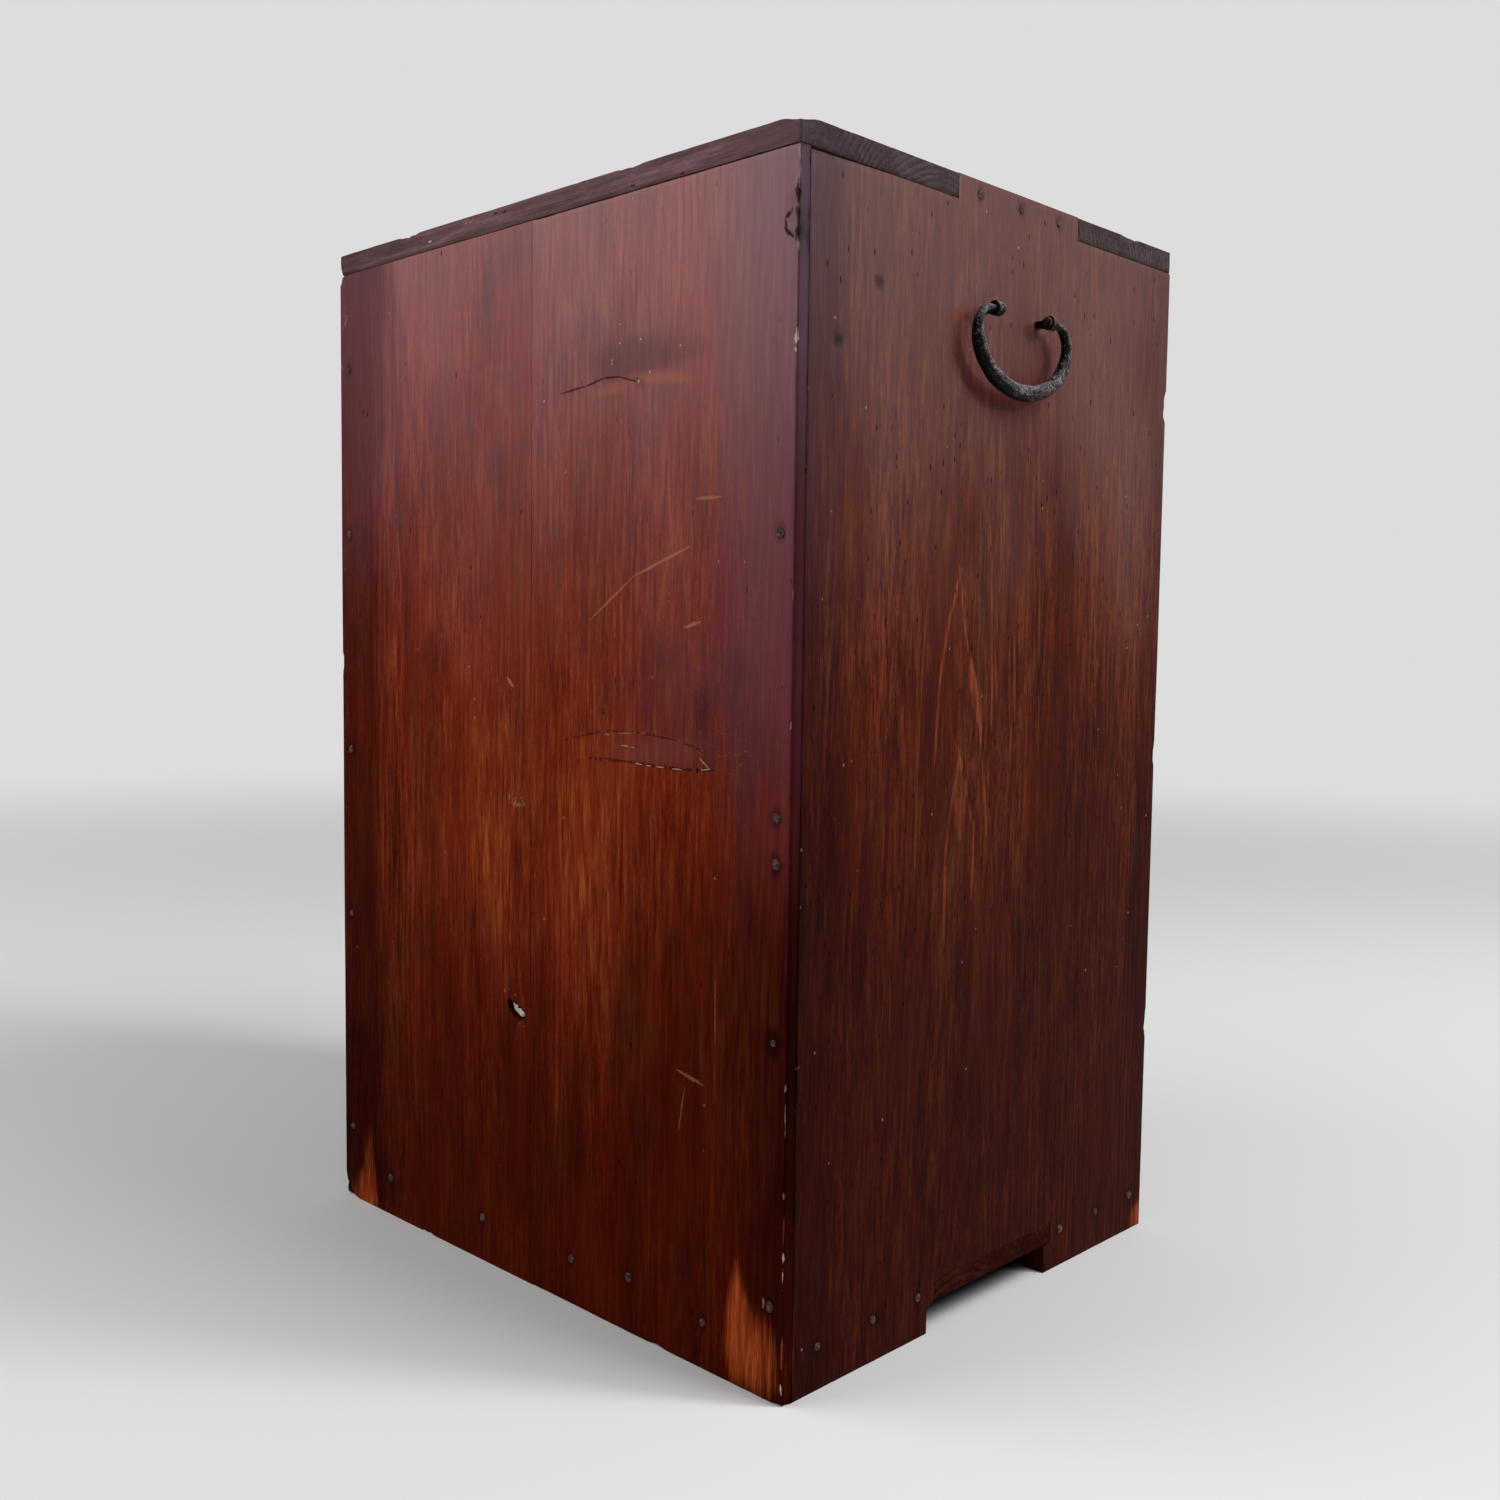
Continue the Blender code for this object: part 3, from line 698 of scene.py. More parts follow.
# Painted highlights: pale dashes where light catches the lower lip.
LIP_HIGHLIGHT_DASHES = (
    ((0.1094, 0.3039), (0.1039, 0.3036)),
    ((0.1012, 0.3035), (0.0971, 0.3034)),
    ((0.0936, 0.3034), (0.0875, 0.3033)),
    ((0.0816, 0.3031), (0.0744, 0.3031)),
    ((0.0602, 0.3039), (0.0540, 0.3048)),
    ((0.0618, 0.3098), (0.0550, 0.3049)),
    ((0.1208, 0.3127), (0.1150, 0.3124)),
)
FAINT_DASHES = (
    ((0.1351, 0.3175), (0.1293, 0.3178)),
    ((0.1236, 0.3188), (0.1110, 0.3195)),
    ((0.1054, 0.3199), (0.1014, 0.3201)),
    ((0.1140, 0.3122), (0.1095, 0.3120)),
)
above_lip = near_back.patch(on_back(0.076, 0.3360), (0.056, 0.0460), 0.0, 0.9, 0.7)
above_lip = above_lip * near_back.z.rise(0.3025, 0.3050)
near_back.tint(above_lip * 0.34, DULL_VEIL)
branch = near_back.patch(on_back(0.104, 0.3118), (0.054, 0.0088), -0.04, 0.6, 0.8)
near_back.tint(branch * (0.05 + cross_grain * 0.35), BRANCH_TONE)
clear_wood = near_back.patch(on_back(0.090, 0.3112), (0.034, 0.0078), -0.10, 0.7, 0.7)
near_back.tint(clear_wood * (near_back.streak * 0.5), CLEAR_TONE)
ticks = near_back.patch(on_back(0.039, 0.3155), (0.014, 0.0130), 0.0, 0.6)
near_back.tint(ticks * cross_grain.rise(0.58, 0.68) * 0.40, SCRATCH_TONE)
burn = near_back.patch(on_back(0.0617, 0.3350), (0.0060, 0.0120), 0.0, 0.6)
near_back.deepen(burn * 0.55, SOOT_GLAZE)
near_back.relief = near_back.relief + (branch + ticks) * cross_grain * 1.4
near_back.lip(line_on_back(LOWER_LIP), 0.0012, LIP_GLAZE)
near_back.lip(line_on_back(TOP_LIP), 0.0007, FAINT_LIP)
# Painted highlights along the lower lip.
near_back.dashes(strokes_on_back(LIP_HIGHLIGHT_DASHES), 0.0004, CHIPPED, 0.55)
near_back.dashes(strokes_on_back(FAINT_DASHES), 0.0007, SCRATCH_TONE, 0.45)
print("lower branch:", len(LIP_HIGHLIGHT_DASHES), "pale dashes")

# %% [markdown]
# ## Cracks, chips and scratches of the back
#
# The near corner is split at the top and chipped all the way down, and knocks have left thin
# scratches across the grain. Each is one row of a table: where it starts and ends, how wide it is,
# and how much of it shows. The far board has fewer, so its table is short.

# %% Marks of the near board
CORNER_CRACK = ((0.0008, 0.5760), (0.0018, 0.5660), (0.0012, 0.5570), (0.0022, 0.5510))
CORNER_RING = ((0.0046, 0.5648), (0.0088, 0.5606), (0.0082, 0.5556), (0.0040, 0.5520))
near_back.lip(line_on_back(CORNER_CRACK), 0.0019, CRACK_GLAZE)
near_back.lip(line_on_back(CORNER_RING), 0.0014, CRACK_GLAZE)
# The first two rows are a painted highlight along the upper arris; the rest are chips.
ARRIS_CHIPS_AND_HIGHLIGHT = (
    ((0.0003, 0.595), (0.0004, 0.584), 0.0011, PAINTED_ARRIS_HIGHLIGHT, 0.8),
    ((0.0003, 0.586), (0.0004, 0.573), 0.0010, PAINTED_ARRIS_HIGHLIGHT, 0.6),
    ((0.0007, 0.551), (0.0003, 0.545), 0.0010, CHIPPED, 0.7),
    ((0.0006, 0.511), (0.0012, 0.504), 0.0015, CHIPPED, 0.9),
    ((0.0013, 0.502), (0.0009, 0.500), 0.0009, CHIPPED, 0.6),
    ((0.0004, 0.392), (0.0006, 0.387), 0.0006, CHIPPED, 0.4),
    ((0.0003, 0.331), (0.0007, 0.327), 0.0006, CHIPPED, 0.4),
    ((0.0004, 0.159), (0.0008, 0.155), 0.0008, CHIPPED, 0.6),
    ((0.0006, 0.149), (0.0003, 0.132), 0.0005, CHIPPED, 0.5),
    ((0.0009, 0.106), (0.0004, 0.102), 0.0008, CHIPPED, 0.6),
    ((0.0002, 0.097), (0.0005, 0.080), 0.0005, BARE_WOOD, 0.7),
    ((0.0005, 0.0765), (0.0003, 0.070), 0.0009, CHIPPED, 0.8),
    ((0.0003, 0.073), (0.0009, 0.058), 0.0005, CHIPPED, 0.7),
    ((0.0003, 0.036), (0.0007, 0.019), 0.0007, BARE_WOOD, 0.8),
    ((0.0010, 0.0115), (0.0005, 0.005), 0.0009, CHIPPED, 0.8),
)
for start, end, width, colour, share in ARRIS_CHIPS_AND_HIGHLIGHT:
    near_back.scratch(on_back(*start), on_back(*end), width, colour, share)
scratch_back(
    near_back,
    ((0.146, 0.378), (0.112, 0.400), 0.0011, 0.45),
    ((0.112, 0.400), (0.070, 0.414), 0.0012, 0.60),
    ((0.066, 0.437), (0.049, 0.437), 0.0013, 0.55),
    ((0.074, 0.374), (0.062, 0.377), 0.0014, 0.65),
    ((0.049, 0.200), (0.0485, 0.168), 0.0008, 0.50),
    ((0.076, 0.150), (0.056, 0.146), 0.0014, 0.50),
    ((0.070, 0.142), (0.074, 0.119), 0.0009, 0.35),
    ((0.0133, 0.0455), (0.0133, 0.0505), 0.0010, 0.80),
)
near_back.raw_inside("y", 1.0)
near_back.worn(BARE_WOOD, PALE_WOOD, WARM_WOOD)
print("near board:", len(ARRIS_CHIPS_AND_HIGHLIGHT), "chips on its edge")

# %% The far board
far_heart = (0.52, 0.04, 0.012, 0.0052)
far_edge = (HALF_WIDTH, 0.066, 0.35)
far_back = back_finish("stained_far_back", far_heart, far_edge, 0.35, 0.48, 0.75)
scratch_back(
    far_back,
    ((0.219, 0.345), (0.213, 0.340), 0.0016, 0.70),
    ((0.330, 0.430), (0.326, 0.392), 0.0008, 0.35),
)
FAR_SCUFFS = (
    ((0.2110, 0.2762), (0.0100, 0.0045)),
    ((0.3895, 0.5665), (0.0050, 0.0075)),
    ((0.3915, 0.5370), (0.0030, 0.0055)),
)
for place, half in FAR_SCUFFS:
    scuff = far_back.patch(on_back(*place), half, 0.2, 0.6)
    far_back.tint(scuff * far_back.flake.rise(0.50, 0.60) * 0.45, SCUFF_TONE)
FAR_BRUISES = (
    ((0.216, 0.577), (0.022, 0.014)),
    ((0.238, 0.564), (0.007, 0.022)),
)
for place, half in FAR_BRUISES:
    far_back.deepen(far_back.patch(on_back(*place), half, 0.0, 0.7) * 0.6, BRUISE)
far_back.raw_inside("y", 1.0)
far_back.worn(BARE_WOOD, PALE_WOOD, WARM_WOOD)
print("back finishes", near_back.material.name, far_back.material.name)

# %% [markdown]
# ## Finishes of the sides
#
# Each side is one wide board sawn close to the heart of the tree, so the rings come out as tall
# flames in the middle of the board. The heart line leans: it is deeper in the board towards one
# end, and that is what closes a ring into a point. The strongest flames are drawn as lines
# through a few points, because they are what the eye finds first. Round the bail, where its
# shadow falls, the board is glazed redder: a painted reflection in that shade.

# %% Flames of the sides
SIDE_FLAMES = {
    LEFT: (
        (0.0017, 0.60, ((0.1275, 0.4037), (0.1191, 0.3797), (0.1116, 0.3453), (0.1095, 0.3100))),
        (0.0017, 0.60, ((0.1275, 0.4037), (0.1340, 0.3715), (0.1447, 0.3424))),
        (0.0016, 0.55, ((0.1447, 0.3424), (0.1506, 0.3103), (0.1562, 0.2689))),
        (0.0046, 0.55, ((0.1375, 0.3600), (0.1495, 0.3215))),
        (0.0018, 0.65, ((0.1308, 0.3087), (0.1242, 0.2824), (0.1199, 0.2536), (0.1206, 0.2150))),
        (0.0018, 0.65, ((0.1308, 0.3087), (0.1411, 0.2787), (0.1451, 0.2686), (0.1444, 0.2350))),
        (0.0080, 0.55, ((0.1308, 0.3080), (0.1325, 0.2650))),
        (0.0013, 0.50, ((0.1538, 0.4229), (0.1574, 0.3742), (0.1590, 0.3300))),
        (0.0020, 0.45, ((0.1605, 0.3644), (0.1633, 0.3346))),
        (0.0022, 0.40, ((0.1780, 0.3720), (0.1800, 0.3250))),
        (0.0015, 0.40, ((0.2010, 0.4000), (0.2035, 0.3300), (0.2050, 0.2600))),
        (0.0014, 0.35, ((0.1000, 0.3900), (0.0960, 0.3300), (0.0945, 0.2500))),
    ),
    RIGHT: (
        (0.0017, 0.50, ((0.1700, 0.3600), (0.1620, 0.3250), (0.1580, 0.2700))),
        (0.0017, 0.50, ((0.1700, 0.3600), (0.1770, 0.3200), (0.1820, 0.2500))),
        (0.0060, 0.35, ((0.1700, 0.3560), (0.1710, 0.3120))),
        (0.0016, 0.50, ((0.1720, 0.2450), (0.1660, 0.2100), (0.1640, 0.1650))),
        (0.0016, 0.50, ((0.1720, 0.2450), (0.1790, 0.2050), (0.1810, 0.1500))),
        (0.0015, 0.40, ((0.1450, 0.4100), (0.1425, 0.3500), (0.1410, 0.2800))),
        (0.0015, 0.40, ((0.1960, 0.3800), (0.1995, 0.3100), (0.2010, 0.2400))),
        (0.0014, 0.35, ((0.2250, 0.4200), (0.2270, 0.3400))),
    ),
}
print({SIDE_NAMES[side]: len(flames) for side, flames in SIDE_FLAMES.items()}, "flames")

# %% Stain of the sides
# Points round the bail, from its axis, where a red reflection is painted into its shadow.
BAIL_SHADOW_LINE = (
    (0.042, -0.004),
    (0.043, -0.014),
    (0.038, -0.027),
    (0.022, -0.040),
    (0.000, -0.044),
    (-0.022, -0.038),
    (-0.038, -0.025),
    (-0.041, -0.010),
)
BAIL_SHADOW_WIDTH = 0.017
INSIDE_FROM = PANEL_FACE + 0.003
INSIDE_FULL = PANEL_FACE + 0.005
hinges = [joint for joint in frame["joints"] if joint["type"] == "hinge"]
bail_axes = {joint["child"]: Vector(joint["pos_m"]) for joint in hinges}


def side_finish(name, side, heart):
    """The stain of one side board, with its flames."""
    wood = StainedCedar(name, "yzx", heart, BROWN_STAIN, 0.09, contrast=1.3, shine=0.02)
    threads = (wood.streak * 0.6 + wood.fibre * 0.4).rise(0.34, 0.60)
    for width, share, points in SIDE_FLAMES[side]:
        reach = wood.reach([on_side(side, *point) for point in points], width)
        wood.deepen((1.0 - (reach * 0.35 + wood.torn * 0.5).rise(0.2, 1.0)) * 0.4, BRUISE)
        wood.tint((1.0 - (reach + wood.torn * 1.2).rise(0.2, 1.1)) * threads * share, ORANGE_GLOW)
    wood.blotch(7.0, 0.014, 0.170, 0.55, BRUISE)
    wood.blotch(23.0, 0.009, 0.110, 0.50, EMBER)
    level = wood.z + (wood.cloud - 0.5) * 0.2
    # Painted sheen: the upper side is tinted paler and greyer, as light catches it.
    wood.tint(level.rise(0.36, 0.58) * 0.36, PAINTED_SHEEN_VEIL)
    axis = bail_axes[f"{SIDE_NAMES[side]}_handle"]
    # Painted reflection: a red glaze round the bail, where its shadow falls.
    bail_shadow_points = [on_side(side, BACK - axis.y - rear, axis.z + up) for rear, up in BAIL_SHADOW_LINE]
    red_in_shade = 1.0 - (wood.reach(bail_shadow_points, BAIL_SHADOW_WIDTH) + wood.torn * 0.4).rise(0.1, 1.1)
    wood.deepen(red_in_shade * 0.85, RED_IN_BAIL_SHADOW)
    high = level.rise(0.24, 0.48)
    rear = wood.margin(abs(wood.y - BACK), 0.040)
    wood.tint(rear * high * 0.6, REAR_TONE)
    wood.deepen(rear * 0.45 + wood.margin(abs(wood.y - FRONT), 0.030) * 0.3, EDGE_GLAZE)
    wood.deepen(wood.margin(abs(wood.y - BACK), 0.110) * (1.0 - high) * 0.6, RED_GLAZE)
    # Darker towards the floor: grime, and painted shade where less light reaches.
    low = (level + (wood.band - 0.5) * 0.1).rise(0.14, 0.48)
    wood.deepen(1.0 - low, DARKENING_GLAZE)
    wood.pits(0.45, 0.06)
    wood.lacquer(0.28, 0.64, 0.01, 0.21)
    wood.raw_inside("x", float(side), wood.y.rise(INSIDE_FROM, INSIDE_FULL))
    return wood.worn(BARE_WOOD, PALE_WOOD, WARM_WOOD)


side_finishes = {
    LEFT: side_finish("stained_left_side", LEFT, (0.034, 0.182, -0.090, 0.0044)),
    RIGHT: side_finish("stained_right_side", RIGHT, (-0.020, -0.175, 0.090, 0.0048)),
}
print("side finishes", [finish.material.name for finish in side_finishes.values()])

# %% [markdown]
# ## Finishes of the top, the bottom, the front and the inside
#
# The grain of the top and the bottom runs across the chest, so their ends show on the sides. The
# same class gives them another set of axes. The strips and the panel take the stain of the sides,
# and the pieces inside were never stained at all.

# %% Other wood finishes
TOP_SPECKS = (
    ((0.2590, 0.6025), (0.2584, 0.6025)),
    ((0.2546, 0.6025), (0.2540, 0.6025)),
    ((0.2960, 0.5985), (0.2930, 0.5983)),
)
top_heart = (0.06, -0.55, 0.02, 0.0034)
top_wood = StainedCedar("dark_top", "yxz", top_heart, GREY_STAIN, 0.30, shine=0.015)
top_end = abs(top_wood.facing("x")).rise(0.6, 0.9)
top_wood.deepen(top_end, END_GRAIN)
# The top is darker towards its far end.
top_far = (top_wood.x + (top_wood.band - 0.5) * 0.1).rise(0.02, 0.20)
top_wood.deepen(top_far, FAR_END_DARKENING)
top_wood.tint(top_wood.facing("z").rise(0.6, 0.9) * 0.45, TOP_BROWN)
top_wood.pits()
top_wood.dashes(strokes_on_back(TOP_SPECKS), 0.0008, CHIPPED, 0.8)
top_wood.coat = (0.06 + top_wood.cloud * 0.07) * (1.0 - top_end * 0.7) * (1.0 - top_far * 0.7)
top_wood.worn(TOP_BARE, TOP_PALE)

bottom_heart = (0.03, 0.05, 0.05, 0.0042)
bottom_wood = StainedCedar("sooty_bottom", "yxz", bottom_heart, SOOTY_STAIN)
bottom_wood.deepen(abs(bottom_wood.facing("x")).rise(0.6, 0.9) * 0.9, DARKENING_GLAZE)
bottom_wood.pits()
bottom_wood.worn(BARE_WOOD, PALE_WOOD)


def panel_finish(name, heart):
    wood = StainedCedar(name, "xzy", heart, RED_STAIN)
    wood.deepen(wood.margin(abs(abs(wood.x) - INSIDE_HALF), 0.024) * 0.8, EDGE_GLAZE)
    # Darker towards the floor: grime, and painted shade where less light reaches.
    wood.deepen(1.0 - (wood.z + (wood.cloud - 0.5) * 0.2).rise(0.04, 0.26), FLOOR_GRIME_AND_SHADE)
    wood.pits()
    wood.lacquer(0.14, 0.60, 0.02, 0.34)
    return wood.worn(BARE_WOOD, PALE_WOOD, WARM_WOOD)


panel_finishes = {
    LEFT: panel_finish("stained_left_panel", (-0.090, 0.135, -0.070, 0.0046)),
    RIGHT: panel_finish("stained_right_panel", (0.110, 0.115, -0.050, 0.0050)),
}
strip_heart = (0.9, 0.22, 0.02, 0.0036)
strip_wood = StainedCedar("stained_strip", "zxy", strip_heart, BROWN_STAIN, 0.4)
strip_wood.pits()
strip_wood.coat = 0.05 + strip_wood.cloud * 0.2
strip_wood.worn(BARE_WOOD, PALE_WOOD)

raw_heart = (0.05, -0.20, 0.06, 0.0048)
raw_wood = StainedCedar("raw_cedar", "yxz", raw_heart, RAW_CEDAR, 0.35)
raw_wood.worn(PALE_WOOD, PALE_WOOD)
print("other wood finishes ready")

# %% [markdown]
# ## Iron and paper
#
# Forged iron is dark, and brown where rust has taken hold. Its palest specks are painted glints, and
# on the bails the flats that face up and forward are painted lighter and the others darker, as painted
# light and shade. Rust is not a metal, so Metallic falls where the rust mask rises. One function makes
# the iron of the bails and of the nails, with other tones. The paper is a pale sheet whose colour and
# creases come from one noise, so that it is painted darker in the hollows of its creases: painted
# shade.


# %% Iron and paper finishes
# The palest tone is a painted glint, and the bails' bright tone is the painted light on their flats.
PAINTED_GLINT = hue(0.480, 0.430, 0.440)
BAIL_DARK = hue(0.003, 0.0025, 0.0025)
BAIL_LIT_TONE = hue(0.235, 0.205, 0.212)
NAIL_DARK = hue(0.026, 0.014, 0.012)
NAIL_BRIGHT = hue(0.200, 0.120, 0.105)
RUST_STOPS = ((0.3, hue(0.022, 0.012, 0.009)), (0.7, hue(0.085, 0.042, 0.026)))
PAPER_STOPS = ((0.25, hue(0.330, 0.290, 0.260)), (0.7, hue(0.560, 0.520, 0.480)))
IRON_BUMP = 0.0005
PAPER_BUMP = 0.001


def forged_iron(name, metallic, rust_share, dark, bright, rubbed=0.0):
    """rubbed: how much lighter the upper and forward flats are painted, and the others darker: painted
    light and shade.
    """
    iron = Finish(name, Specular_IOR_Level=0.06)
    scale = iron.grain(iron.x * 240, iron.y * 240, iron.z * 240, 4.0, 0.65)
    fine = iron.grain(iron.x * 1100, iron.y * 1100, iron.z * 1100, 3.0, 0.7)
    broad = iron.grain(iron.x * 60, iron.y * 60, iron.z * 60, 2.0, 0.5)
    rust = (broad * 0.6 + scale * 0.6 - 0.1).rise(0.62 - rust_share, 0.80 - rust_share)
    # Painted light and shade: flats facing up and forward are lighter, the others darker.
    light_on_flats = (iron.facing("z") - iron.facing("y")) * rubbed
    worked = scale * 0.45 + (fine - 0.5) * 0.9 + 0.24 + light_on_flats
    metal = iron.ramp(worked, [(0.44, dark), (0.66, bright), (0.90, PAINTED_GLINT)])
    iron.feed(Base_Color=iron.blend(rust, metal, iron.ramp(fine, RUST_STOPS)))
    iron.feed(Metallic=metallic * (1.0 - rust * 0.85))
    iron.feed(Roughness=0.46 + rust * 0.3 + (fine - 0.5) * 0.6)
    iron.bump(scale * 0.6 + fine * 0.4, 0.8, IRON_BUMP)
    return iron


# The bail's flats are painted lighter towards the light and darker away from it.
bail_iron = forged_iron("forged_bail", 0.08, 0.05, BAIL_DARK, BAIL_LIT_TONE, rubbed=0.12)
nail_iron = forged_iron("nail_iron", 0.10, 0.10, NAIL_DARK, NAIL_BRIGHT)

paper = Finish("pasted_paper", Roughness=0.9, Specular_IOR_Level=0.2)
crumple = paper.grain(paper.x * 160, paper.y * 160, paper.z * 160, 4.0, 0.6)
# Painted shade: the paper is darker where the crumple is low, in the hollows of its creases.
paper.feed(Base_Color=paper.ramp(crumple, PAPER_STOPS))
paper.bump(crumple, 0.7, PAPER_BUMP)
print("iron and paper ready")

# %% [markdown]
# ## Sawing a board
#
# Each worn board starts as a grid whose lines run through every corner of its outline. The squares
# outside the outline are deleted, and the sheet is extruded to its thickness. A single box
# would be lighter, but its face could not carry dents, chips and painted wear.


# %% Grid boards
GRID_HALF = 0.5


def grid_lines(stops, step):
    """Places of the grid lines: through each stop, and about a step apart between them."""
    marks = [stops[0]]
    for low, high in zip(stops, stops[1:]):
        count = max(1, round((high - low) / step))
        marks += [low + (high - low) * (index + 1) / count for index in range(count)]
    return marks


def sawn_sheet(across, along, keep):
    """A flat grid on the given lines, without the squares that keep rejects."""
    columns, rows = len(across) - 1, len(along) - 1
    bm = bmesh.new()
    bmesh.ops.create_grid(bm, x_segments=columns, y_segments=rows, size=GRID_HALF)
    for vert in bm.verts:
        column = round((vert.co.x + GRID_HALF) * columns)
        row = round((vert.co.y + GRID_HALF) * rows)
        vert.co = (across[column], along[row], 0.0)
    waste = [face for face in bm.faces if not keep(*face.calc_center_median().xy)]
    bmesh.ops.delete(bm, geom=waste, context="FACES")
    return bm


def whole(across, along):
    """Keeps every square of a sheet."""
    return True


print("saw ready")

# %% [markdown]
# A sheet is flat on the ground until it is thickened. Then it stands up in the plane of its board,
# its walls are cut into rows, and its outward edges are rounded. Without the rows, wear along
# an edge would spread over the whole thickness of the board.

# %% Thickness and rounded edges
TO_PLANE = {
    "xz": Matrix(((1, 0, 0), (0, 0, 1), (0, 1, 0))),
    "yz": Matrix(((0, 0, 1), (1, 0, 0), (0, 1, 0))),
    "xy": Matrix.Identity(3),
}
WALL_CUTS = 2
SHARP_TURN = math.radians(50)


def thicken(bm, plane, low, high):
    """Extrudes a flat sheet and stands it up in its plane, between two levels."""
    made = bmesh.ops.extrude_face_region(bm, geom=bm.faces[:])
    raised = {item for item in made["geom"] if isinstance(item, bmesh.types.BMVert)}
    bmesh.ops.translate(bm, verts=bm.verts, vec=(0, 0, low))
    bmesh.ops.translate(bm, verts=list(raised), vec=(0, 0, high - low))
    walls = [edge for edge in bm.edges if len(raised.intersection(edge.verts)) == 1]
    bmesh.ops.subdivide_edges(bm, edges=walls, cuts=WALL_CUTS, use_grid_fill=True)
    bmesh.ops.transform(bm, matrix=TO_PLANE[plane].to_4x4(), verts=bm.verts)
    bmesh.ops.recalc_face_normals(bm, faces=bm.faces)


def round_edges(bm, radius, segments=3, choose=None):
    """Rounds the outward edges, or those whose middle is chosen."""
    edges = []
    for edge in bm.edges:
        if not edge.is_convex or edge.calc_face_angle(0.0) < SHARP_TURN:
            continue
        middle = (edge.verts[0].co + edge.verts[1].co) / 2
        if choose is None or choose(middle):
            edges.append(edge)
    bmesh.ops.bevel(
        bm,
        geom=edges,
        offset=radius,
        affect="EDGES",
        segments=segments,
        profile=0.5,
        material=-1,
        clamp_overlap=True,
    )


print("planes", list(TO_PLANE))

# %% [markdown]
# ## Wear
#
# Hands, floors and rope wear an old box at its edges. A vertex whose normal points along no axis
# lies on a rounded edge, so the normal alone says where the edges are. Those vertices lose a
# little wood to noise, the faces get a slight swell, and chips and dents are pushed in where the
# chest has them. The same loop paints the `wear` attribute that the cedar finish reads.

# %% Weathering
BARE, GRIME, WARM = 0, 1, 2
FACE_SWELL = 0.00016
EDGE_LOSS = 0.0005
EDGE_FULL = 0.22
EDGE_GRIME = 0.55
SEAM_ROOM = 0.004
SWELL_SCALE = 13.0
LOSS_SCALE = 75.0
LOSS_START = -0.15
LOSS_OCTAVES = 3
BARE_GAIN = 1.6
BARE_START = 0.3
CHIP_SCALE = 420.0
CHIP_EVEN = 0.65
CHIP_UNEVEN = 0.6
CHIP_BARE = 0.15


def near(place, middle, size):
    """1 at the middle of a spot and 0 beyond its size."""
    away = Vector([(a - b) / s for a, b, s in zip(place, middle, size)])
    return max(0.0, 1.0 - away.length_squared) ** 2


def weather(bm, chips=(), dents=(), spots=(), sinks=(), edge_bare=0.35, seam=False):
    """Wears a board. chips and sinks: (middle, radius, push), and only chips are bare.
    dents: (middle, radius, depth). spots: (middle, size, channel, strength).
    seam: whether the board has a fresh edge in a seam on the middle line."""
    bm.normal_update()
    verts = bm.verts[:]
    tree = kdtree.KDTree(len(verts))
    shifts, painted = [], []
    for index, vert in enumerate(verts):
        place, normal = vert.co, vert.normal
        tree.insert(place, index)
        edge = min(1.0, (1.0 - max(abs(part) for part in normal)) / EDGE_FULL)
        if seam and abs(place.x) < SEAM_ROOM:
            edge = 0.0
        loss = noise.fractal(place * LOSS_SCALE, 1.0, 2.0, LOSS_OCTAVES)
        shift = normal * (noise.noise(place * SWELL_SCALE) * FACE_SWELL)
        shifts.append(shift - normal * (edge * max(0.0, loss - LOSS_START) * EDGE_LOSS))
        bare = edge * edge_bare * max(0.0, loss * BARE_GAIN + BARE_START)
        painted.append([bare, edge * EDGE_GRIME, 0.0])
    tree.balance()
    for middle, radius, push in chips:
        for place, index, away in tree.find_range(middle, radius):
            depth = 1.0 - (away / radius) ** 2
            ragged = CHIP_EVEN + CHIP_UNEVEN * noise.noise(place * CHIP_SCALE)
            shifts[index] += Vector(push) * (depth * ragged)
            painted[index][BARE] += depth * CHIP_BARE
    for middle, radius, push in sinks:
        for place, index, away in tree.find_range(middle, radius):
            shifts[index] += Vector(push) * (1.0 - (away / radius) ** 2) ** 2
    for middle, radius, deep in dents:
        for place, index, away in tree.find_range(middle, radius):
            shifts[index] -= verts[index].normal * (deep * (1.0 - (away / radius) ** 2))
    for middle, size, channel, strength in spots:
        for place, index, away in tree.find_range(middle, max(size)):
            painted[index][channel] += near(place, middle, size) * strength
    layer = bm.verts.layers.float_color.new("wear")
    for vert, shift, paint in zip(bm.verts, shifts, painted):
        vert.co += shift
        vert[layer] = (*[min(1.0, value) for value in paint], 1.0)


print("weather ready, swell", FACE_SWELL, "edge loss", EDGE_LOSS)


# %% From a mesh to a piece
def finish_piece(name, bm, finish, body, slot, *replaced):
    """Turns a bmesh into a piece that rides on a body and stands for CAD nodes."""
    mesh = bpy.data.meshes.new(name)
    bm.to_mesh(mesh)
    bm.free()
    mesh.materials.append(finish.material)
    mesh.shade_smooth()
    mesh.set_sharp_from_angle(angle=SHARP_TURN)
    piece = bpy.data.objects.new(name, mesh)
    bpy.context.scene.collection.objects.link(piece)
    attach(piece, body)
    if replaced:
        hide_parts(*replaced)
    print(name, len(mesh.polygons), "faces")


print("pieces ready")

# %% [markdown]
# ## Nails
#
# Hand-made nails with flat round heads hold the boards. Their places are kept in one
# table, because each nail also leaves a small hollow in the wood round its head.

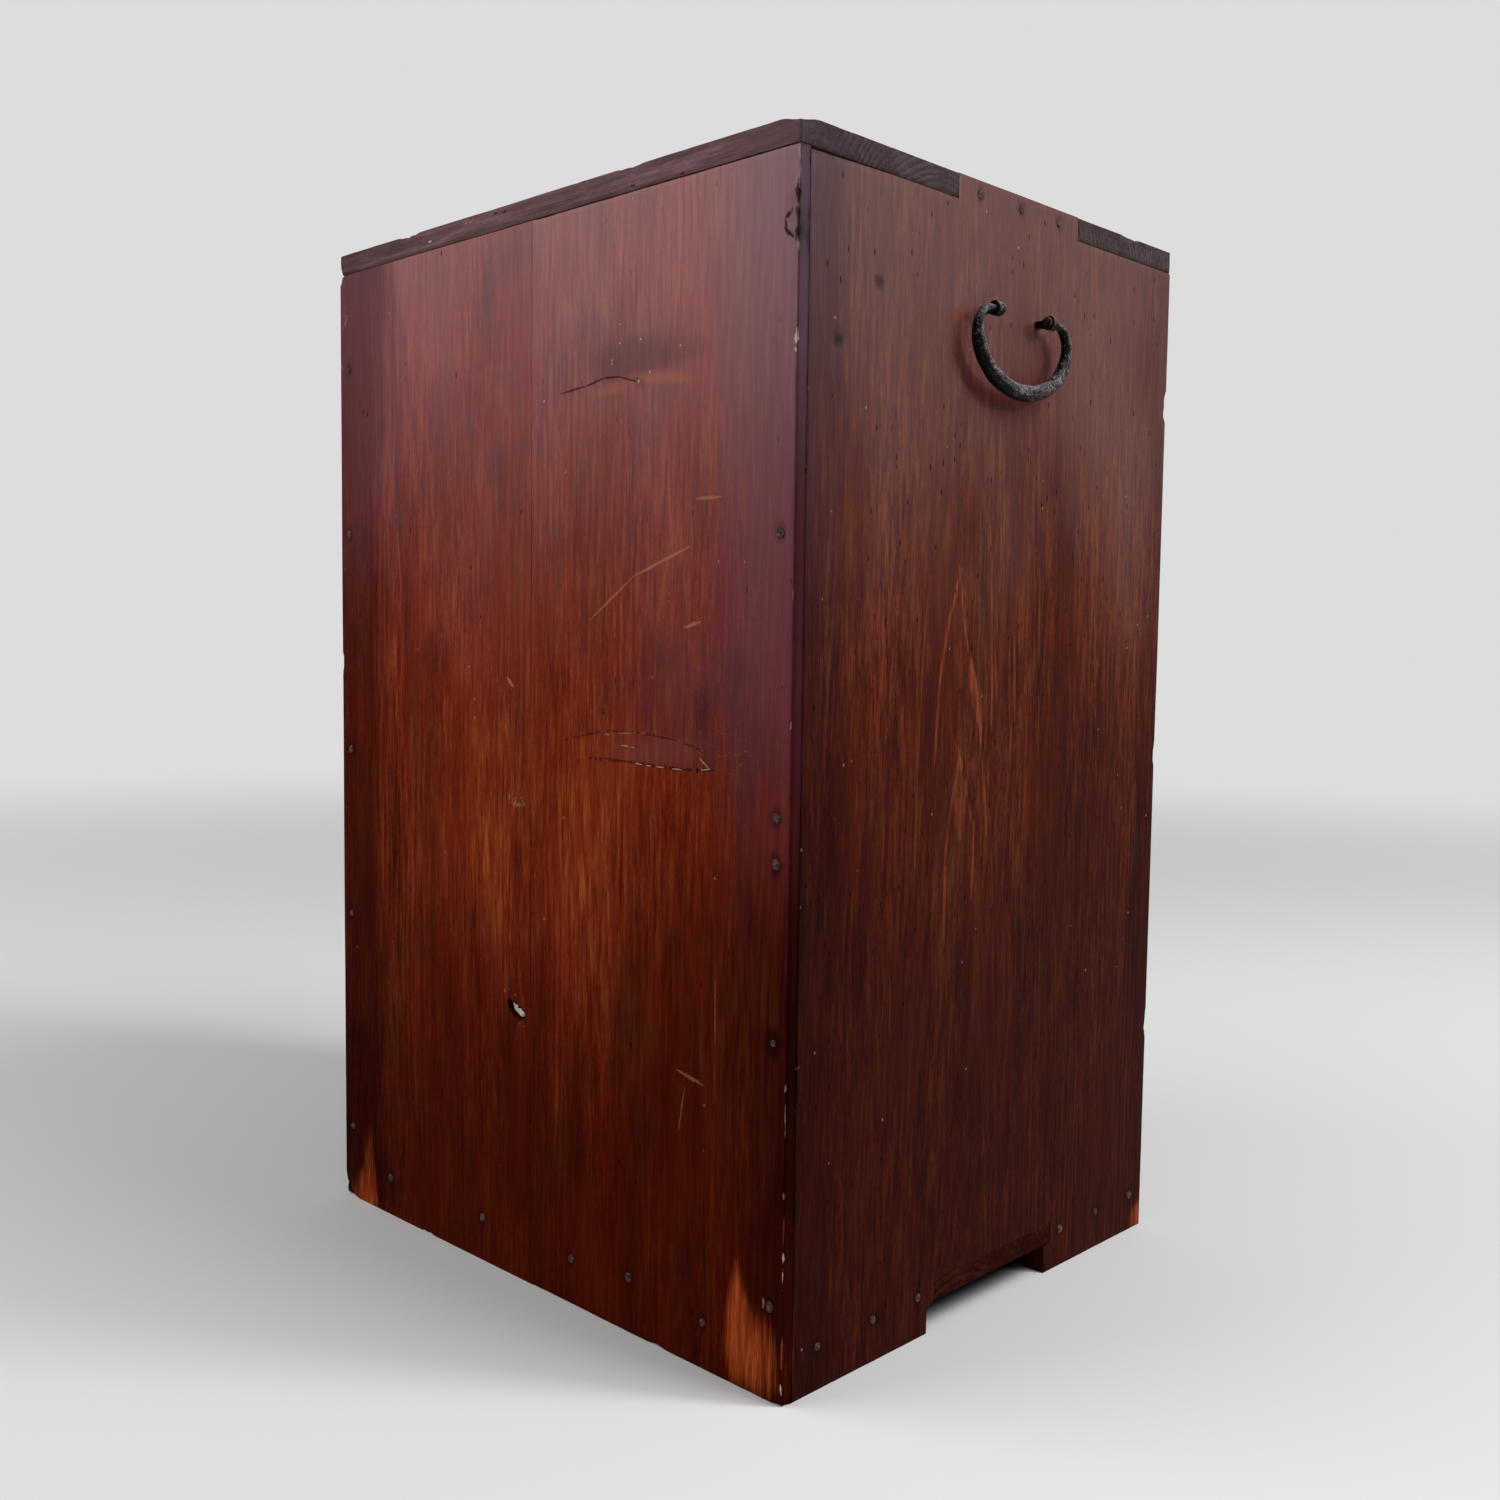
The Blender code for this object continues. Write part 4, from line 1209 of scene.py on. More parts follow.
# %% Nail places
TOP_TAB_NAILS = (0.138, 0.175, 0.211)
TOP_TAB_NAIL_HEIGHT = 0.599
FOOT_NAILS = (0.0253, 0.0678, 0.1049, 0.241, 0.280, 0.319)
FOOT_NAIL_HEIGHT = 0.0223
BACK_FOOT_NAILS = (
    (0.0554, 0.0242),
    (0.1118, 0.0301),
    (0.160, 0.0257),
    (0.2424, 0.0256),
    (0.3406, 0.0238),
)
NEAR_EDGE_NAILS = (0.4179, 0.2848, 0.2627, 0.1769, 0.0475)
FAR_EDGE_NAILS = (0.5339, 0.4311, 0.2946, 0.1880, 0.0471)
EDGE_NAIL_INSET = 0.009
TOP_NAIL_ROWS = (0.026, 0.092, 0.254, 0.308)
TOP_NAIL_INSET = (HALF_WIDTH - INSIDE_HALF) / 2
PANEL_NAIL_SHARES = (-0.84, -0.50, -0.14, 0.14, 0.50, 0.84)
NAIL_JITTER = 0.004
DRAW_SEED = 7

draw = random.Random(DRAW_SEED)


def stray(limit=NAIL_JITTER):
    """A small random shift, because no row of nails is quite straight."""
    return draw.uniform(-limit, limit)


nail_places = {"back_foot_nails": line_on_back(BACK_FOOT_NAILS)}
nail_places["back_edge_nails"] = [on_back(EDGE_NAIL_INSET, height) for height in NEAR_EDGE_NAILS]
far_inset = 2 * HALF_WIDTH - EDGE_NAIL_INSET
nail_places["back_edge_nails"] += [on_back(far_inset, height) for height in FAR_EDGE_NAILS]
for side in (LEFT, RIGHT):
    limit = 0.0 if side == LEFT else NAIL_JITTER
    tab = [on_side(side, place + stray(limit), TOP_TAB_NAIL_HEIGHT) for place in TOP_TAB_NAILS]
    foot = [on_side(side, place + stray(limit), FOOT_NAIL_HEIGHT) for place in FOOT_NAILS]
    nail_places[f"{SIDE_NAMES[side]}_tab_nails"] = tab
    nail_places[f"{SIDE_NAMES[side]}_foot_nails"] = foot
nail_places["top_nails"] = []
for side in (LEFT, RIGHT):
    for from_back in TOP_NAIL_ROWS:
        place = (side * (HALF_WIDTH - TOP_NAIL_INSET), BACK - from_back + stray(), HEIGHT)
        nail_places["top_nails"].append(Vector(place))
nail_places["panel_nails"] = []
for batten in ("lower_panel_batten", "upper_panel_batten"):
    low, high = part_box(batten)
    for share in PANEL_NAIL_SHARES:
        height = (low.z + high.z) / 2 + stray()
        nail_places["panel_nails"].append(Vector((share * -panel_low.x, PANEL_FACE, height)))
print({name: len(places) for name, places in nail_places.items()})

# %% What nails do to the wood
NAIL_DENT_RADIUS = 0.006
NAIL_DENT_DEPTH = 0.0003
NAIL_HALO_SIZE = (0.007, 0.007, 0.010)
NAIL_HALO = 0.7


def nails_in(*names):
    return [place for name in names for place in nail_places[name]]


def nail_dents(*names):
    """A shallow hollow round each nail of the named groups."""
    return [(place, NAIL_DENT_RADIUS, NAIL_DENT_DEPTH) for place in nails_in(*names)]


def nail_halos(*names):
    """Iron stains the wood dark round each nail."""
    return [(place, NAIL_HALO_SIZE, GRIME, NAIL_HALO) for place in nails_in(*names)]


print(len(nails_in(*nail_places)), "nails")

# %% [markdown]
# ## Back boards
#
# Two boards cover the back from edge to edge. The far board has a knot hole near the seam. In the
# flat sheet, the squares inside the hole are taken out and the vertices round it are moved to the
# edge of an uneven ellipse, so the hole goes right through the wood when the sheet is extruded. A
# boolean cut would do it too, but this way the rim keeps the vertices of the grid.

# %% The knot hole
patch_low, patch_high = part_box("knot_hole_patch")
KNOT_MIDDLE = Vector(((patch_low.x + patch_high.x) / 2, (patch_low.z + patch_high.z) / 2))
KNOT_LENGTH = 0.0175
KNOT_BREADTH = 0.0082
KNOT_TILT = math.radians(25)
KNOT_ROOM = 0.012
KNOT_WAVES = ((3, 0.6, 0.09), (5, 0.0, 0.05), (11, 0.0, 0.04))


def knot_reach(offset):
    """How far a point is from the middle of the knot hole, where 1 is its uneven edge."""
    local = Matrix.Rotation(-KNOT_TILT, 2) @ offset
    scaled = Vector((local.x / (KNOT_LENGTH / 2), local.y / (KNOT_BREADTH / 2)))
    turn = math.atan2(scaled.y, scaled.x)
    edge = 1.0 + sum(swell * math.sin(count * turn + start) for count, start, swell in KNOT_WAVES)
    return scaled.length / edge


def open_knot_hole(bm):
    """Takes the squares inside the hole out of a flat sheet and smooths the rim."""
    middles = [(face, face.calc_center_median().xy) for face in bm.faces]
    inside = [face for face, middle in middles if knot_reach(middle - KNOT_MIDDLE) < 1.0]
    bmesh.ops.delete(bm, geom=inside, context="FACES")
    for vert in bm.verts:
        offset = vert.co.xy - KNOT_MIDDLE
        if vert.is_boundary and offset.length < KNOT_ROOM:
            rim = KNOT_MIDDLE + offset / knot_reach(offset)
            vert.co = (rim.x, rim.y, 0.0)


print("knot hole at", [round(v, 4) for v in KNOT_MIDDLE])

# %% Chips and worn places of the back
FAR = 2 * HALF_WIDTH
BACK_CHIPS = {
    LEFT: (
        (on_back(0.0, 0.563), 0.009, (0.0013, -0.0012, 0.0)),
        (on_back(0.0, 0.553), 0.005, (0.0014, -0.0012, 0.0)),
        (on_back(0.0, 0.508), 0.005, (0.0006, -0.0005, 0.0)),
        (on_back(0.0, 0.104), 0.0040, (0.0005, -0.0005, 0.0)),
        (on_back(0.0, 0.071), 0.0045, (0.0005, -0.0005, 0.0)),
        (on_back(0.0, 0.061), 0.0040, (0.0005, -0.0005, 0.0)),
        (on_back(0.0, 0.0), 0.007, (0.0009, -0.0009, 0.0010)),
        (on_back(0.090, 0.0), 0.006, (0.0, -0.0010, 0.0008)),
    ),
    RIGHT: (
        (on_back(FAR, 0.0), 0.014, (-0.0018, -0.0014, 0.0020)),
        (on_back(FAR, back_high.z), 0.006, (-0.0012, -0.0010, -0.0008)),
        (on_back(FAR, 0.350), 0.006, (-0.0010, -0.0010, 0.0)),
        (on_back(0.300, 0.0), 0.007, (0.0, -0.0010, 0.0008)),
    ),
}
BACK_SPOTS = {
    LEFT: (
        (on_back(0.0315, 0.034), (0.009, 0.05, 0.046), WARM, 1.1),
        (on_back(0.021, 0.018), (0.030, 0.05, 0.042), WARM, 0.85),
        (on_back(0.020, 0.0), (0.050, 0.05, 0.014), GRIME, 0.45),
        (on_back(0.150, 0.250), (0.085, 0.05, 0.160), WARM, 0.46),
        (on_back(0.040, 0.175), (0.130, 0.05, 0.140), GRIME, 0.50),
        (on_back(0.0, 0.555), (0.006, 0.02, 0.016), GRIME, 0.6),
        (on_back(0.0, 0.360), (0.004, 0.007, 0.330), GRIME, 0.40),
    ),
    RIGHT: (
        (on_back(FAR - 0.028, 0.020), (0.013, 0.05, 0.052), WARM, 0.58),
        (on_back(FAR - 0.020, 0.004), (0.026, 0.05, 0.026), WARM, 0.55),
        (on_back(0.330, 0.002), (0.070, 0.05, 0.010), WARM, 0.3),
        (on_back(0.230, 0.250), (0.085, 0.05, 0.160), WARM, 0.46),
        (on_back(0.216, 0.3425), (0.005, 0.05, 0.004), BARE, 0.7),
        (on_back(FAR, 0.360), (0.004, 0.007, 0.330), GRIME, 0.50),
    ),
}
KNOT_FLECKS = (
    (-0.003, -0.0072),
    (-0.0075, -0.0078),
    (0.0110, 0.0095),
    (0.0065, 0.0110),
    (0.0010, 0.0092),
)
FLECK_SIZE = (0.0022, 0.005, 0.0018)
FLECK_BARE = 0.75
for right, up in KNOT_FLECKS:
    fleck = Vector((KNOT_MIDDLE.x + right, BACK, KNOT_MIDDLE.y + up))
    BACK_SPOTS[RIGHT] += ((fleck, FLECK_SIZE, BARE, FLECK_BARE),)
print("back chips", {SIDE_NAMES[side]: len(chips) for side, chips in BACK_CHIPS.items()})

# %% Build the back
BOARD_STEP = 0.003
FINE_STEP = 0.0011
ARRIS_STEP = 0.0014
BACK_ROUND = 0.0007
BACK_NAILS = ("back_foot_nails", "back_edge_nails")
knot_low = KNOT_MIDDLE - Vector((KNOT_ROOM, KNOT_ROOM))
knot_high = KNOT_MIDDLE + Vector((KNOT_ROOM, KNOT_ROOM))


def outer_back_edge(place):
    return place.y > BACK - ON_FACE and abs(place.x) > SEAM_ROOM


for side in (LEFT, RIGHT):
    node = f"{SIDE_NAMES[side]}_back_board"
    low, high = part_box(node)
    if side == RIGHT:
        across = grid_lines([low.x, knot_high.x], FINE_STEP)
        across += grid_lines([knot_high.x, high.x], BOARD_STEP)[1:]
        along = grid_lines([low.z, knot_low.y], BOARD_STEP)
        along += grid_lines([knot_low.y, knot_high.y], FINE_STEP)[1:]
        along += grid_lines([knot_high.y, high.z], BOARD_STEP)[1:]
    else:
        across = grid_lines([low.x, low.x + ARRIS_STEP, high.x], BOARD_STEP)
        along = grid_lines([low.z, high.z], BOARD_STEP)
    board = sawn_sheet(across, along, whole)
    if side == RIGHT:
        open_knot_hole(board)
    thicken(board, "xz", low.y, high.y)
    round_edges(board, BACK_ROUND, choose=outer_back_edge)
    spots = [*BACK_SPOTS[side], *nail_halos(*BACK_NAILS)]
    weather(board, BACK_CHIPS[side], nail_dents(*BACK_NAILS), spots, seam=True)
    finish = near_back if side == LEFT else far_back
    finish_piece(f"worn_{node}", board, finish, "case", "stained_cedar", node)

# %% [markdown]
# ## Paper behind the knot hole
#
# A piece of paper was pasted over the hole on the inside and pushed into it. The sheet is a fine
# grid: squares above a ragged line are torn away, and the vertices in the lower half of the hole
# move out towards the surface, which leaves a crumpled pale tongue under a dark opening.

# %% Press the paper into the hole
SHEET_STEP = 0.0008
PAPER_REACH = 0.0052
TEAR_LINE = 0.0008
TEAR_DEPTH = 0.0009
TEAR_SCALE = 700.0
CREASE_SCALE = TEAR_SCALE * 0.6
CREASE_DEPTH = 0.0005
TORN_AREA = 1.5
PUSHED_FROM = 0.95
PUSHED_FADE = 0.30


def across_knot(offset):
    """Distance from the long axis of the knot hole."""
    return (Matrix.Rotation(-KNOT_TILT, 2) @ offset).y


def paper_left(x, z):
    """Whether a square of paper is still there: the part above the tear line is gone."""
    offset = Vector((x, z)) - KNOT_MIDDLE
    torn = TEAR_LINE + TEAR_DEPTH * noise.noise(Vector((x, z, 0.0)) * TEAR_SCALE)
    return across_knot(offset) < torn or knot_reach(offset) > TORN_AREA


across = grid_lines([patch_low.x, patch_high.x], SHEET_STEP)
along = grid_lines([patch_low.z, patch_high.z], SHEET_STEP)
sheet = sawn_sheet(across, along, paper_left)
thicken(sheet, "xz", patch_low.y, patch_high.y)
for vert in sheet.verts:
    reach = knot_reach(Vector((vert.co.x, vert.co.z)) - KNOT_MIDDLE)
    share = min(1.0, max(0.0, (PUSHED_FROM - reach) / PUSHED_FADE))
    crease = noise.noise(vert.co * CREASE_SCALE) * CREASE_DEPTH
    vert.co.y += share * (PAPER_REACH + crease)
finish_piece("pressed_paper", sheet, paper, "case", "pasted_paper", "knot_hole_patch")

# %% [markdown]
# ## Side boards
#
# A side board has a tab that stands through the top, a slot for the tab of the bottom, and a
# finger gap between its two feet. All of them are rectangles on the grid. The rear corner of the
# finger gap is rounded, so the vertices there slide onto a quarter circle.


# %% Outline of a side
def side_outline(y, z):
    """Whether a point lies on the board."""
    over_shoulder = z > SHOULDER and not TAB_FRONT < y < TAB_REAR
    in_gap = z < LEDGE and GAP_FRONT < y < GAP_REAR
    in_slot = LEDGE < z < SLOT_TOP and TAB_FRONT - FIT < y < TAB_REAR + FIT
    return not (over_shoulder or in_gap or in_slot)


def round_gap_corner(bm):
    """Slides the rear corner of the finger gap onto a quarter circle."""
    centre = Vector((GAP_REAR - FINGER_GAP_ROUND, LEDGE - FINGER_GAP_ROUND))
    for vert in bm.verts:
        offset = vert.co.xy - centre
        on_corner = min(offset) > -CLOSE and max(offset) < FINGER_GAP_ROUND + CLOSE
        if vert.is_boundary and on_corner and offset.length > 0:
            moved = centre + offset.normalized() * FINGER_GAP_ROUND
            vert.co = (moved.x, moved.y, 0.0)


print("finger gap from", round(GAP_FRONT, 4), "to", round(GAP_REAR, 4))

# %% Knocks on the sides
FRONT_EDGE = BACK - FRONT
SIDE_DENTS = {
    LEFT: (
        (0.0286, 0.509, 0.0045, 0.0007),
        (0.0577, 0.541, 0.0040, 0.0005),
    ),
    RIGHT: (
        (0.080, 0.420, 0.0045, 0.0006),
        (0.260, 0.300, 0.0050, 0.0006),
    ),
}
SIDE_CHIPS = {
    LEFT: ((0.513, 0.009, 0.0020), (0.300, 0.007, 0.0012), (0.130, 0.008, 0.0010)),
    RIGHT: ((0.440, 0.009, 0.0016), (0.210, 0.008, 0.0012)),
}
CHIP_INWARD = 0.7
DENT_SOOT_SIZE = (0.006, 0.006, 0.006)
DENT_SOOT = 1.1
FOOT_WEAR = (
    (FRONT_EDGE, 0.004, (0.05, 0.020, 0.020), 0.8),
    (0.000, 0.030, (0.05, 0.014, 0.060), 0.7),
)
SHOULDER_SINK = (0.075, (0.0, 0.0, -0.0012))


def side_wear(side):
    """Chips, dents and worn spots of one side board, for weather()."""
    chips = []
    for height, radius, push in SIDE_CHIPS[side]:
        inward = (-side * push * CHIP_INWARD, push, 0.0)
        chips.append((on_side(side, FRONT_EDGE, height), radius, inward))
    dents = []
    for from_back, height, radius, deep in SIDE_DENTS[side]:
        dents.append((on_side(side, from_back, height), radius, deep))
    spots = [(place, DENT_SOOT_SIZE, GRIME, DENT_SOOT) for place, radius, deep in dents]
    for from_back, height, size, strength in FOOT_WEAR:
        spots.append((on_side(side, from_back, height), size, WARM, strength))
    return chips, dents, spots


print("side chips", {SIDE_NAMES[side]: len(chips) for side, chips in SIDE_CHIPS.items()})

# %% Build the sides
SIDE_STEP = 0.0032
GAP_STEP = 0.0012
SIDE_ROUND = 0.0006
corner_y = GAP_REAR - FINGER_GAP_ROUND
corner_z = LEDGE - FINGER_GAP_ROUND


def free_side_edge(place):
    return place.y < side_high.y - ON_FACE


for side in (LEFT, RIGHT):
    node = f"{SIDE_NAMES[side]}_side_board"
    low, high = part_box(node)
    across = grid_lines([low.y, TAB_FRONT - FIT], SIDE_STEP)
    across += [TAB_FRONT]
    across += grid_lines([GAP_FRONT, TAB_REAR], SIDE_STEP)
    across += [TAB_REAR + FIT]
    if corner_y > TAB_REAR + FIT + CLOSE:
        across += [corner_y]
    across += grid_lines([across[-1], GAP_REAR], GAP_STEP)[1:]
    across += grid_lines([GAP_REAR, high.y], SIDE_STEP)[1:]
    along = grid_lines([low.z, corner_z], SIDE_STEP)
    along += grid_lines([corner_z, LEDGE], GAP_STEP)[1:]
    along += grid_lines([LEDGE, SLOT_TOP, SHOULDER, HEIGHT], SIDE_STEP)[1:]
    board = sawn_sheet(across, along, side_outline)
    round_gap_corner(board)
    thicken(board, "yz", low.x, high.x)
    round_edges(board, SIDE_ROUND, choose=free_side_edge)
    nails = [f"{SIDE_NAMES[side]}_tab_nails", f"{SIDE_NAMES[side]}_foot_nails"]
    chips, dents, spots = side_wear(side)
    sinks = [(on_side(side, 0.0, SHOULDER), *SHOULDER_SINK)] if side == LEFT else []
    weather(board, chips, dents + nail_dents(*nails), spots + nail_halos(*nails), sinks)
    finish_piece(f"worn_{node}", board, side_finishes[side], "case", "stained_cedar", node)

# %% [markdown]
# ## Top and bottom boards
#
# The top lies over the sides and the back, notched for the two tabs. Its outer edge is well
# rounded by handling. The bottom board is the same idea turned inside out: it has the tabs.

# %% Build the top
NOTCH = INSIDE_HALF - FIT
TOP_STEP = 0.0027
UPRIGHT_ROUND = 0.0010
TOP_ROUND = 0.0024
TOP_EDGE_BARE = 0.2
TOP_CHIPS = (
    ((-HALF_WIDTH, -0.120, HEIGHT), 0.010, (0.0008, 0.0, -0.0010)),
    ((-0.080, BACK, HEIGHT), 0.010, (0.0, -0.0008, -0.0010)),
    ((0.120, BACK, HEIGHT), 0.012, (0.0, -0.0010, -0.0012)),
    ((HALF_WIDTH, BACK, CEILING), 0.006, (-0.0009, -0.0009, 0.0010)),
    ((0.060, FRONT, HEIGHT), 0.012, (0.0, 0.0010, -0.0012)),
)
TOP_SINKS = (((-HALF_WIDTH, BACK, HEIGHT), 0.013, (0.0010, -0.0010, -0.0018)),)


def top_outline(x, y):
    """Whether a point lies on the top, which is notched at both ends."""
    return not (abs(x) > NOTCH and TAB_FRONT - FIT < y < TAB_REAR + FIT)


def upright_corner(place):
    return abs(place.x) > HALF_WIDTH - ON_FACE and abs(place.y) > BACK - ON_FACE


def upper_edge(place):
    return place.z > HEIGHT - ON_FACE


across = grid_lines([-HALF_WIDTH, -NOTCH, NOTCH, HALF_WIDTH], TOP_STEP)
along = grid_lines([FRONT, TAB_FRONT - FIT, TAB_REAR + FIT, BACK], TOP_STEP)
board = sawn_sheet(across, along, top_outline)
thicken(board, "xy", CEILING, HEIGHT)
round_edges(board, UPRIGHT_ROUND, choose=upright_corner)
round_edges(board, TOP_ROUND, segments=4, choose=upper_edge)
dents = nail_dents("top_nails")
halos = nail_halos("top_nails")
weather(board, TOP_CHIPS, dents, halos, TOP_SINKS, edge_bare=TOP_EDGE_BARE)
finish_piece("worn_top_board", board, top_wood, "case", "dark_cedar", "top_board")

# %% Build the bottom
BOTTOM_ROUND = 0.0006


def bottom_outline(x, y):
    """Whether a point lies on the bottom, which has a tab at both ends."""
    return abs(x) < NOTCH or TAB_FRONT < y < TAB_REAR


across = grid_lines([-HALF_WIDTH, -NOTCH, NOTCH, HALF_WIDTH], TOP_STEP)
along = grid_lines([FRONT, TAB_FRONT, TAB_REAR, bottom_high.y], TOP_STEP)
board = sawn_sheet(across, along, bottom_outline)
thicken(board, "xy", bottom_low.z, bottom_high.z)
round_edges(board, BOTTOM_ROUND, segments=2)
weather(board)
finish_piece("worn_bottom_board", board, bottom_wood, "case", "stained_cedar", "bottom_board")

# %% [markdown]
# ## Front panel and its strips
#
# Two boards side by side make the front panel, with a pull across the seam. A rail above and a
# low sill below hold it. They are plain boards, so one function makes them all.

# %% Build the front
PANEL_STEP = 0.0036
PANEL_ROUND = 0.0009
STRIP_STEP = 0.003
STRIP_ROUND = 0.0007
HAND_GRIME = ((0.0, PANEL_FACE, 0.425), (0.085, 0.05, 0.055), GRIME, 0.75)
RUB_FROM_MIDDLE = 0.120
RUB_HEIGHT = 0.030
RUB_SIZE = (0.090, 0.05, 0.016)
RUB_STRENGTH = 0.7


def plain_worn_board(node, finish, body, radius, step, spots=()):
    """A straight board of the front with no cut-outs, worn along its edges."""
    low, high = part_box(node)
    across = grid_lines([low.x, high.x], step)
    along = grid_lines([low.z, high.z], step)
    board = sawn_sheet(across, along, whole)
    thicken(board, "xz", low.y, high.y)
    round_edges(board, radius)
    spots = [*spots, *nail_halos("panel_nails")]
    weather(board, (), nail_dents("panel_nails"), spots, seam=body == "front_panel")
    finish_piece(f"worn_{node}", board, finish, body, "stained_cedar", node)


for side in (LEFT, RIGHT):
    node = f"{SIDE_NAMES[side]}_panel_board"
    rubbed = (side * RUB_FROM_MIDDLE, PANEL_FACE, RUB_HEIGHT)
    spots = (HAND_GRIME, (rubbed, RUB_SIZE, WARM, RUB_STRENGTH))
    plain_worn_board(node, panel_finishes[side], "front_panel", PANEL_ROUND, PANEL_STEP, spots)
for node in ("upper_front_rail", "sill_front_strip"):
    plain_worn_board(node, strip_wood, "case", STRIP_ROUND, STRIP_STEP)

# %% [markdown]
# The pull has slanted sides that a grid board can't have, so it starts from a copy of its CAD mesh.
# The loose triangles are joined, the edges are rounded, and cuts a few millimetres apart give the
# wear enough vertices.

# %% Wear the pull
PULL_STEP = 0.003
PULL_ROUND = 0.0009
FLAT_TURN = math.radians(1)
HOLD_SIZE = (0.045, 0.05, 0.020)
HOLD_BARE = 0.25

pull = bmesh.new()
pull.from_mesh(nodes["panel_pull"].data)
pull.transform(nodes["panel_pull"].matrix_world)
bmesh.ops.remove_doubles(pull, verts=pull.verts, dist=CLOSE)
bmesh.ops.dissolve_limit(pull, angle_limit=FLAT_TURN, verts=pull.verts, edges=pull.edges)
round_edges(pull, PULL_ROUND)
low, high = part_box("panel_pull")
for axis, normal in enumerate(Matrix.Identity(3)):
    for mark in grid_lines([low[axis], high[axis]], PULL_STEP)[1:-1]:
        everything = pull.verts[:] + pull.edges[:] + pull.faces[:]
        bmesh.ops.bisect_plane(
            pull,
            geom=everything,
            dist=CLOSE,
            plane_co=normal * mark,
            plane_no=normal,
        )
hold = ((low + high) / 2, HOLD_SIZE, BARE, HOLD_BARE)
weather(pull, spots=(hold,))
finish_piece("worn_panel_pull", pull, strip_wood, "front_panel", "stained_cedar", "panel_pull")

# %% [markdown]
# ## Bails
#
# A bail is a bar drawn out thin at both ends, bent into a C and hung in two eyes. The smith left
# flats on it, so its section is an octagon with soft corners. One ring of eight vertices is
# extruded along the C, turned and scaled at each step, and noise adds the hammer marks.

# %% Half of a bail
BAIL_HALF_SPAN = 0.041
BAIL_DROP = 0.040
BAIL_SHOULDER = 0.012
BAIL_GRIP_RADIUS = 0.0044
BAIL_TIP_RADIUS = 0.0019
BAIL_KNOB_RADIUS = 0.0032
BAIL_KNOB_LENGTH = 0.0028
EYE_SPACING = 0.0506
EYE_WIDTH = 0.0042
EYE_PLAY = 0.0004
KNOB_SHAPE = ((0.0, 0.55), (0.12, 0.85), (0.35, 1.0), (0.65, 0.98), (0.9, 0.82))
TIP_STEPS = 6
SHOULDER_STEPS = 12
GRIP_STEPS = 26


def bail_radius(step):
    """The bar swells from the start of its shoulder to the middle of its grip."""
    swell = math.sin(math.pi / 2 * step / (SHOULDER_STEPS + GRIP_STEPS))
    return BAIL_TIP_RADIUS + (BAIL_GRIP_RADIUS - BAIL_TIP_RADIUS) * swell


def bail_half():
    """(y, z, radius) from the knob at one tip to the lowest point, with the axis at y = z = 0."""
    knob_end = EYE_SPACING / 2 - EYE_WIDTH / 2 - EYE_PLAY
    knob_start = knob_end - BAIL_KNOB_LENGTH
    shoulder_start = BAIL_HALF_SPAN - BAIL_SHOULDER
    points = []
    for share, fullness in KNOB_SHAPE:
        points.append((knob_start + BAIL_KNOB_LENGTH * share, 0.0, BAIL_KNOB_RADIUS * fullness))
    for step in range(TIP_STEPS + 1):
        y = knob_end + (shoulder_start - knob_end) * step / TIP_STEPS
        points.append((y, 0.0, BAIL_TIP_RADIUS))
    for step in range(1, SHOULDER_STEPS + 1):
        turn = math.pi / 2 * step / SHOULDER_STEPS
        y = shoulder_start + BAIL_SHOULDER * math.sin(turn)
        points.append((y, -BAIL_SHOULDER * (1 - math.cos(turn)), bail_radius(step)))
    for step in range(1, GRIP_STEPS + 1):
        turn = math.pi / 2 * step / GRIP_STEPS
        z = -BAIL_SHOULDER - (BAIL_DROP - BAIL_SHOULDER) * math.sin(turn)
        points.append((BAIL_HALF_SPAN * math.cos(turn), z, bail_radius(SHOULDER_STEPS + step)))
    return points


print("half a bail has", len(bail_half()), "rings")

# %% Forge the bails
BAIL_SIDES = 8
BAIL_FULLNESS = 1.03
EDGE_TURN_LEAST = math.radians(25)
EDGE_TURN_MOST = math.radians(60)
EDGE_SHARE = 22
HAMMER_SCALE = 95.0
HAMMER_FINER = 3.1
HAMMER_FINE_SHARE = 0.45
HAMMER_DEPTH = 0.00042


def bail_frames(axis_place):
    """One matrix for each ring: its place on the C, its direction and its size."""
    half = bail_half()
    points = half + [(-y, z, radius) for y, z, radius in half[-2::-1]]
    places = [axis_place + Vector((0.0, y, z)) for y, z, radius in points]
    frames = []
    for index, (place, (y, z, radius)) in enumerate(zip(places, points)):
        ahead = places[min(index + 1, len(places) - 1)]
        behind = places[max(index - 1, 0)]
        forward = (ahead - behind).normalized()
        outward = Vector((1.0, 0.0, 0.0))
        upward = forward.cross(outward)
        turn = Matrix((outward, upward, forward)).transposed().to_4x4()
        frames.append(Matrix.Translation(place) @ turn @ Matrix.Scale(radius, 4))
    return frames


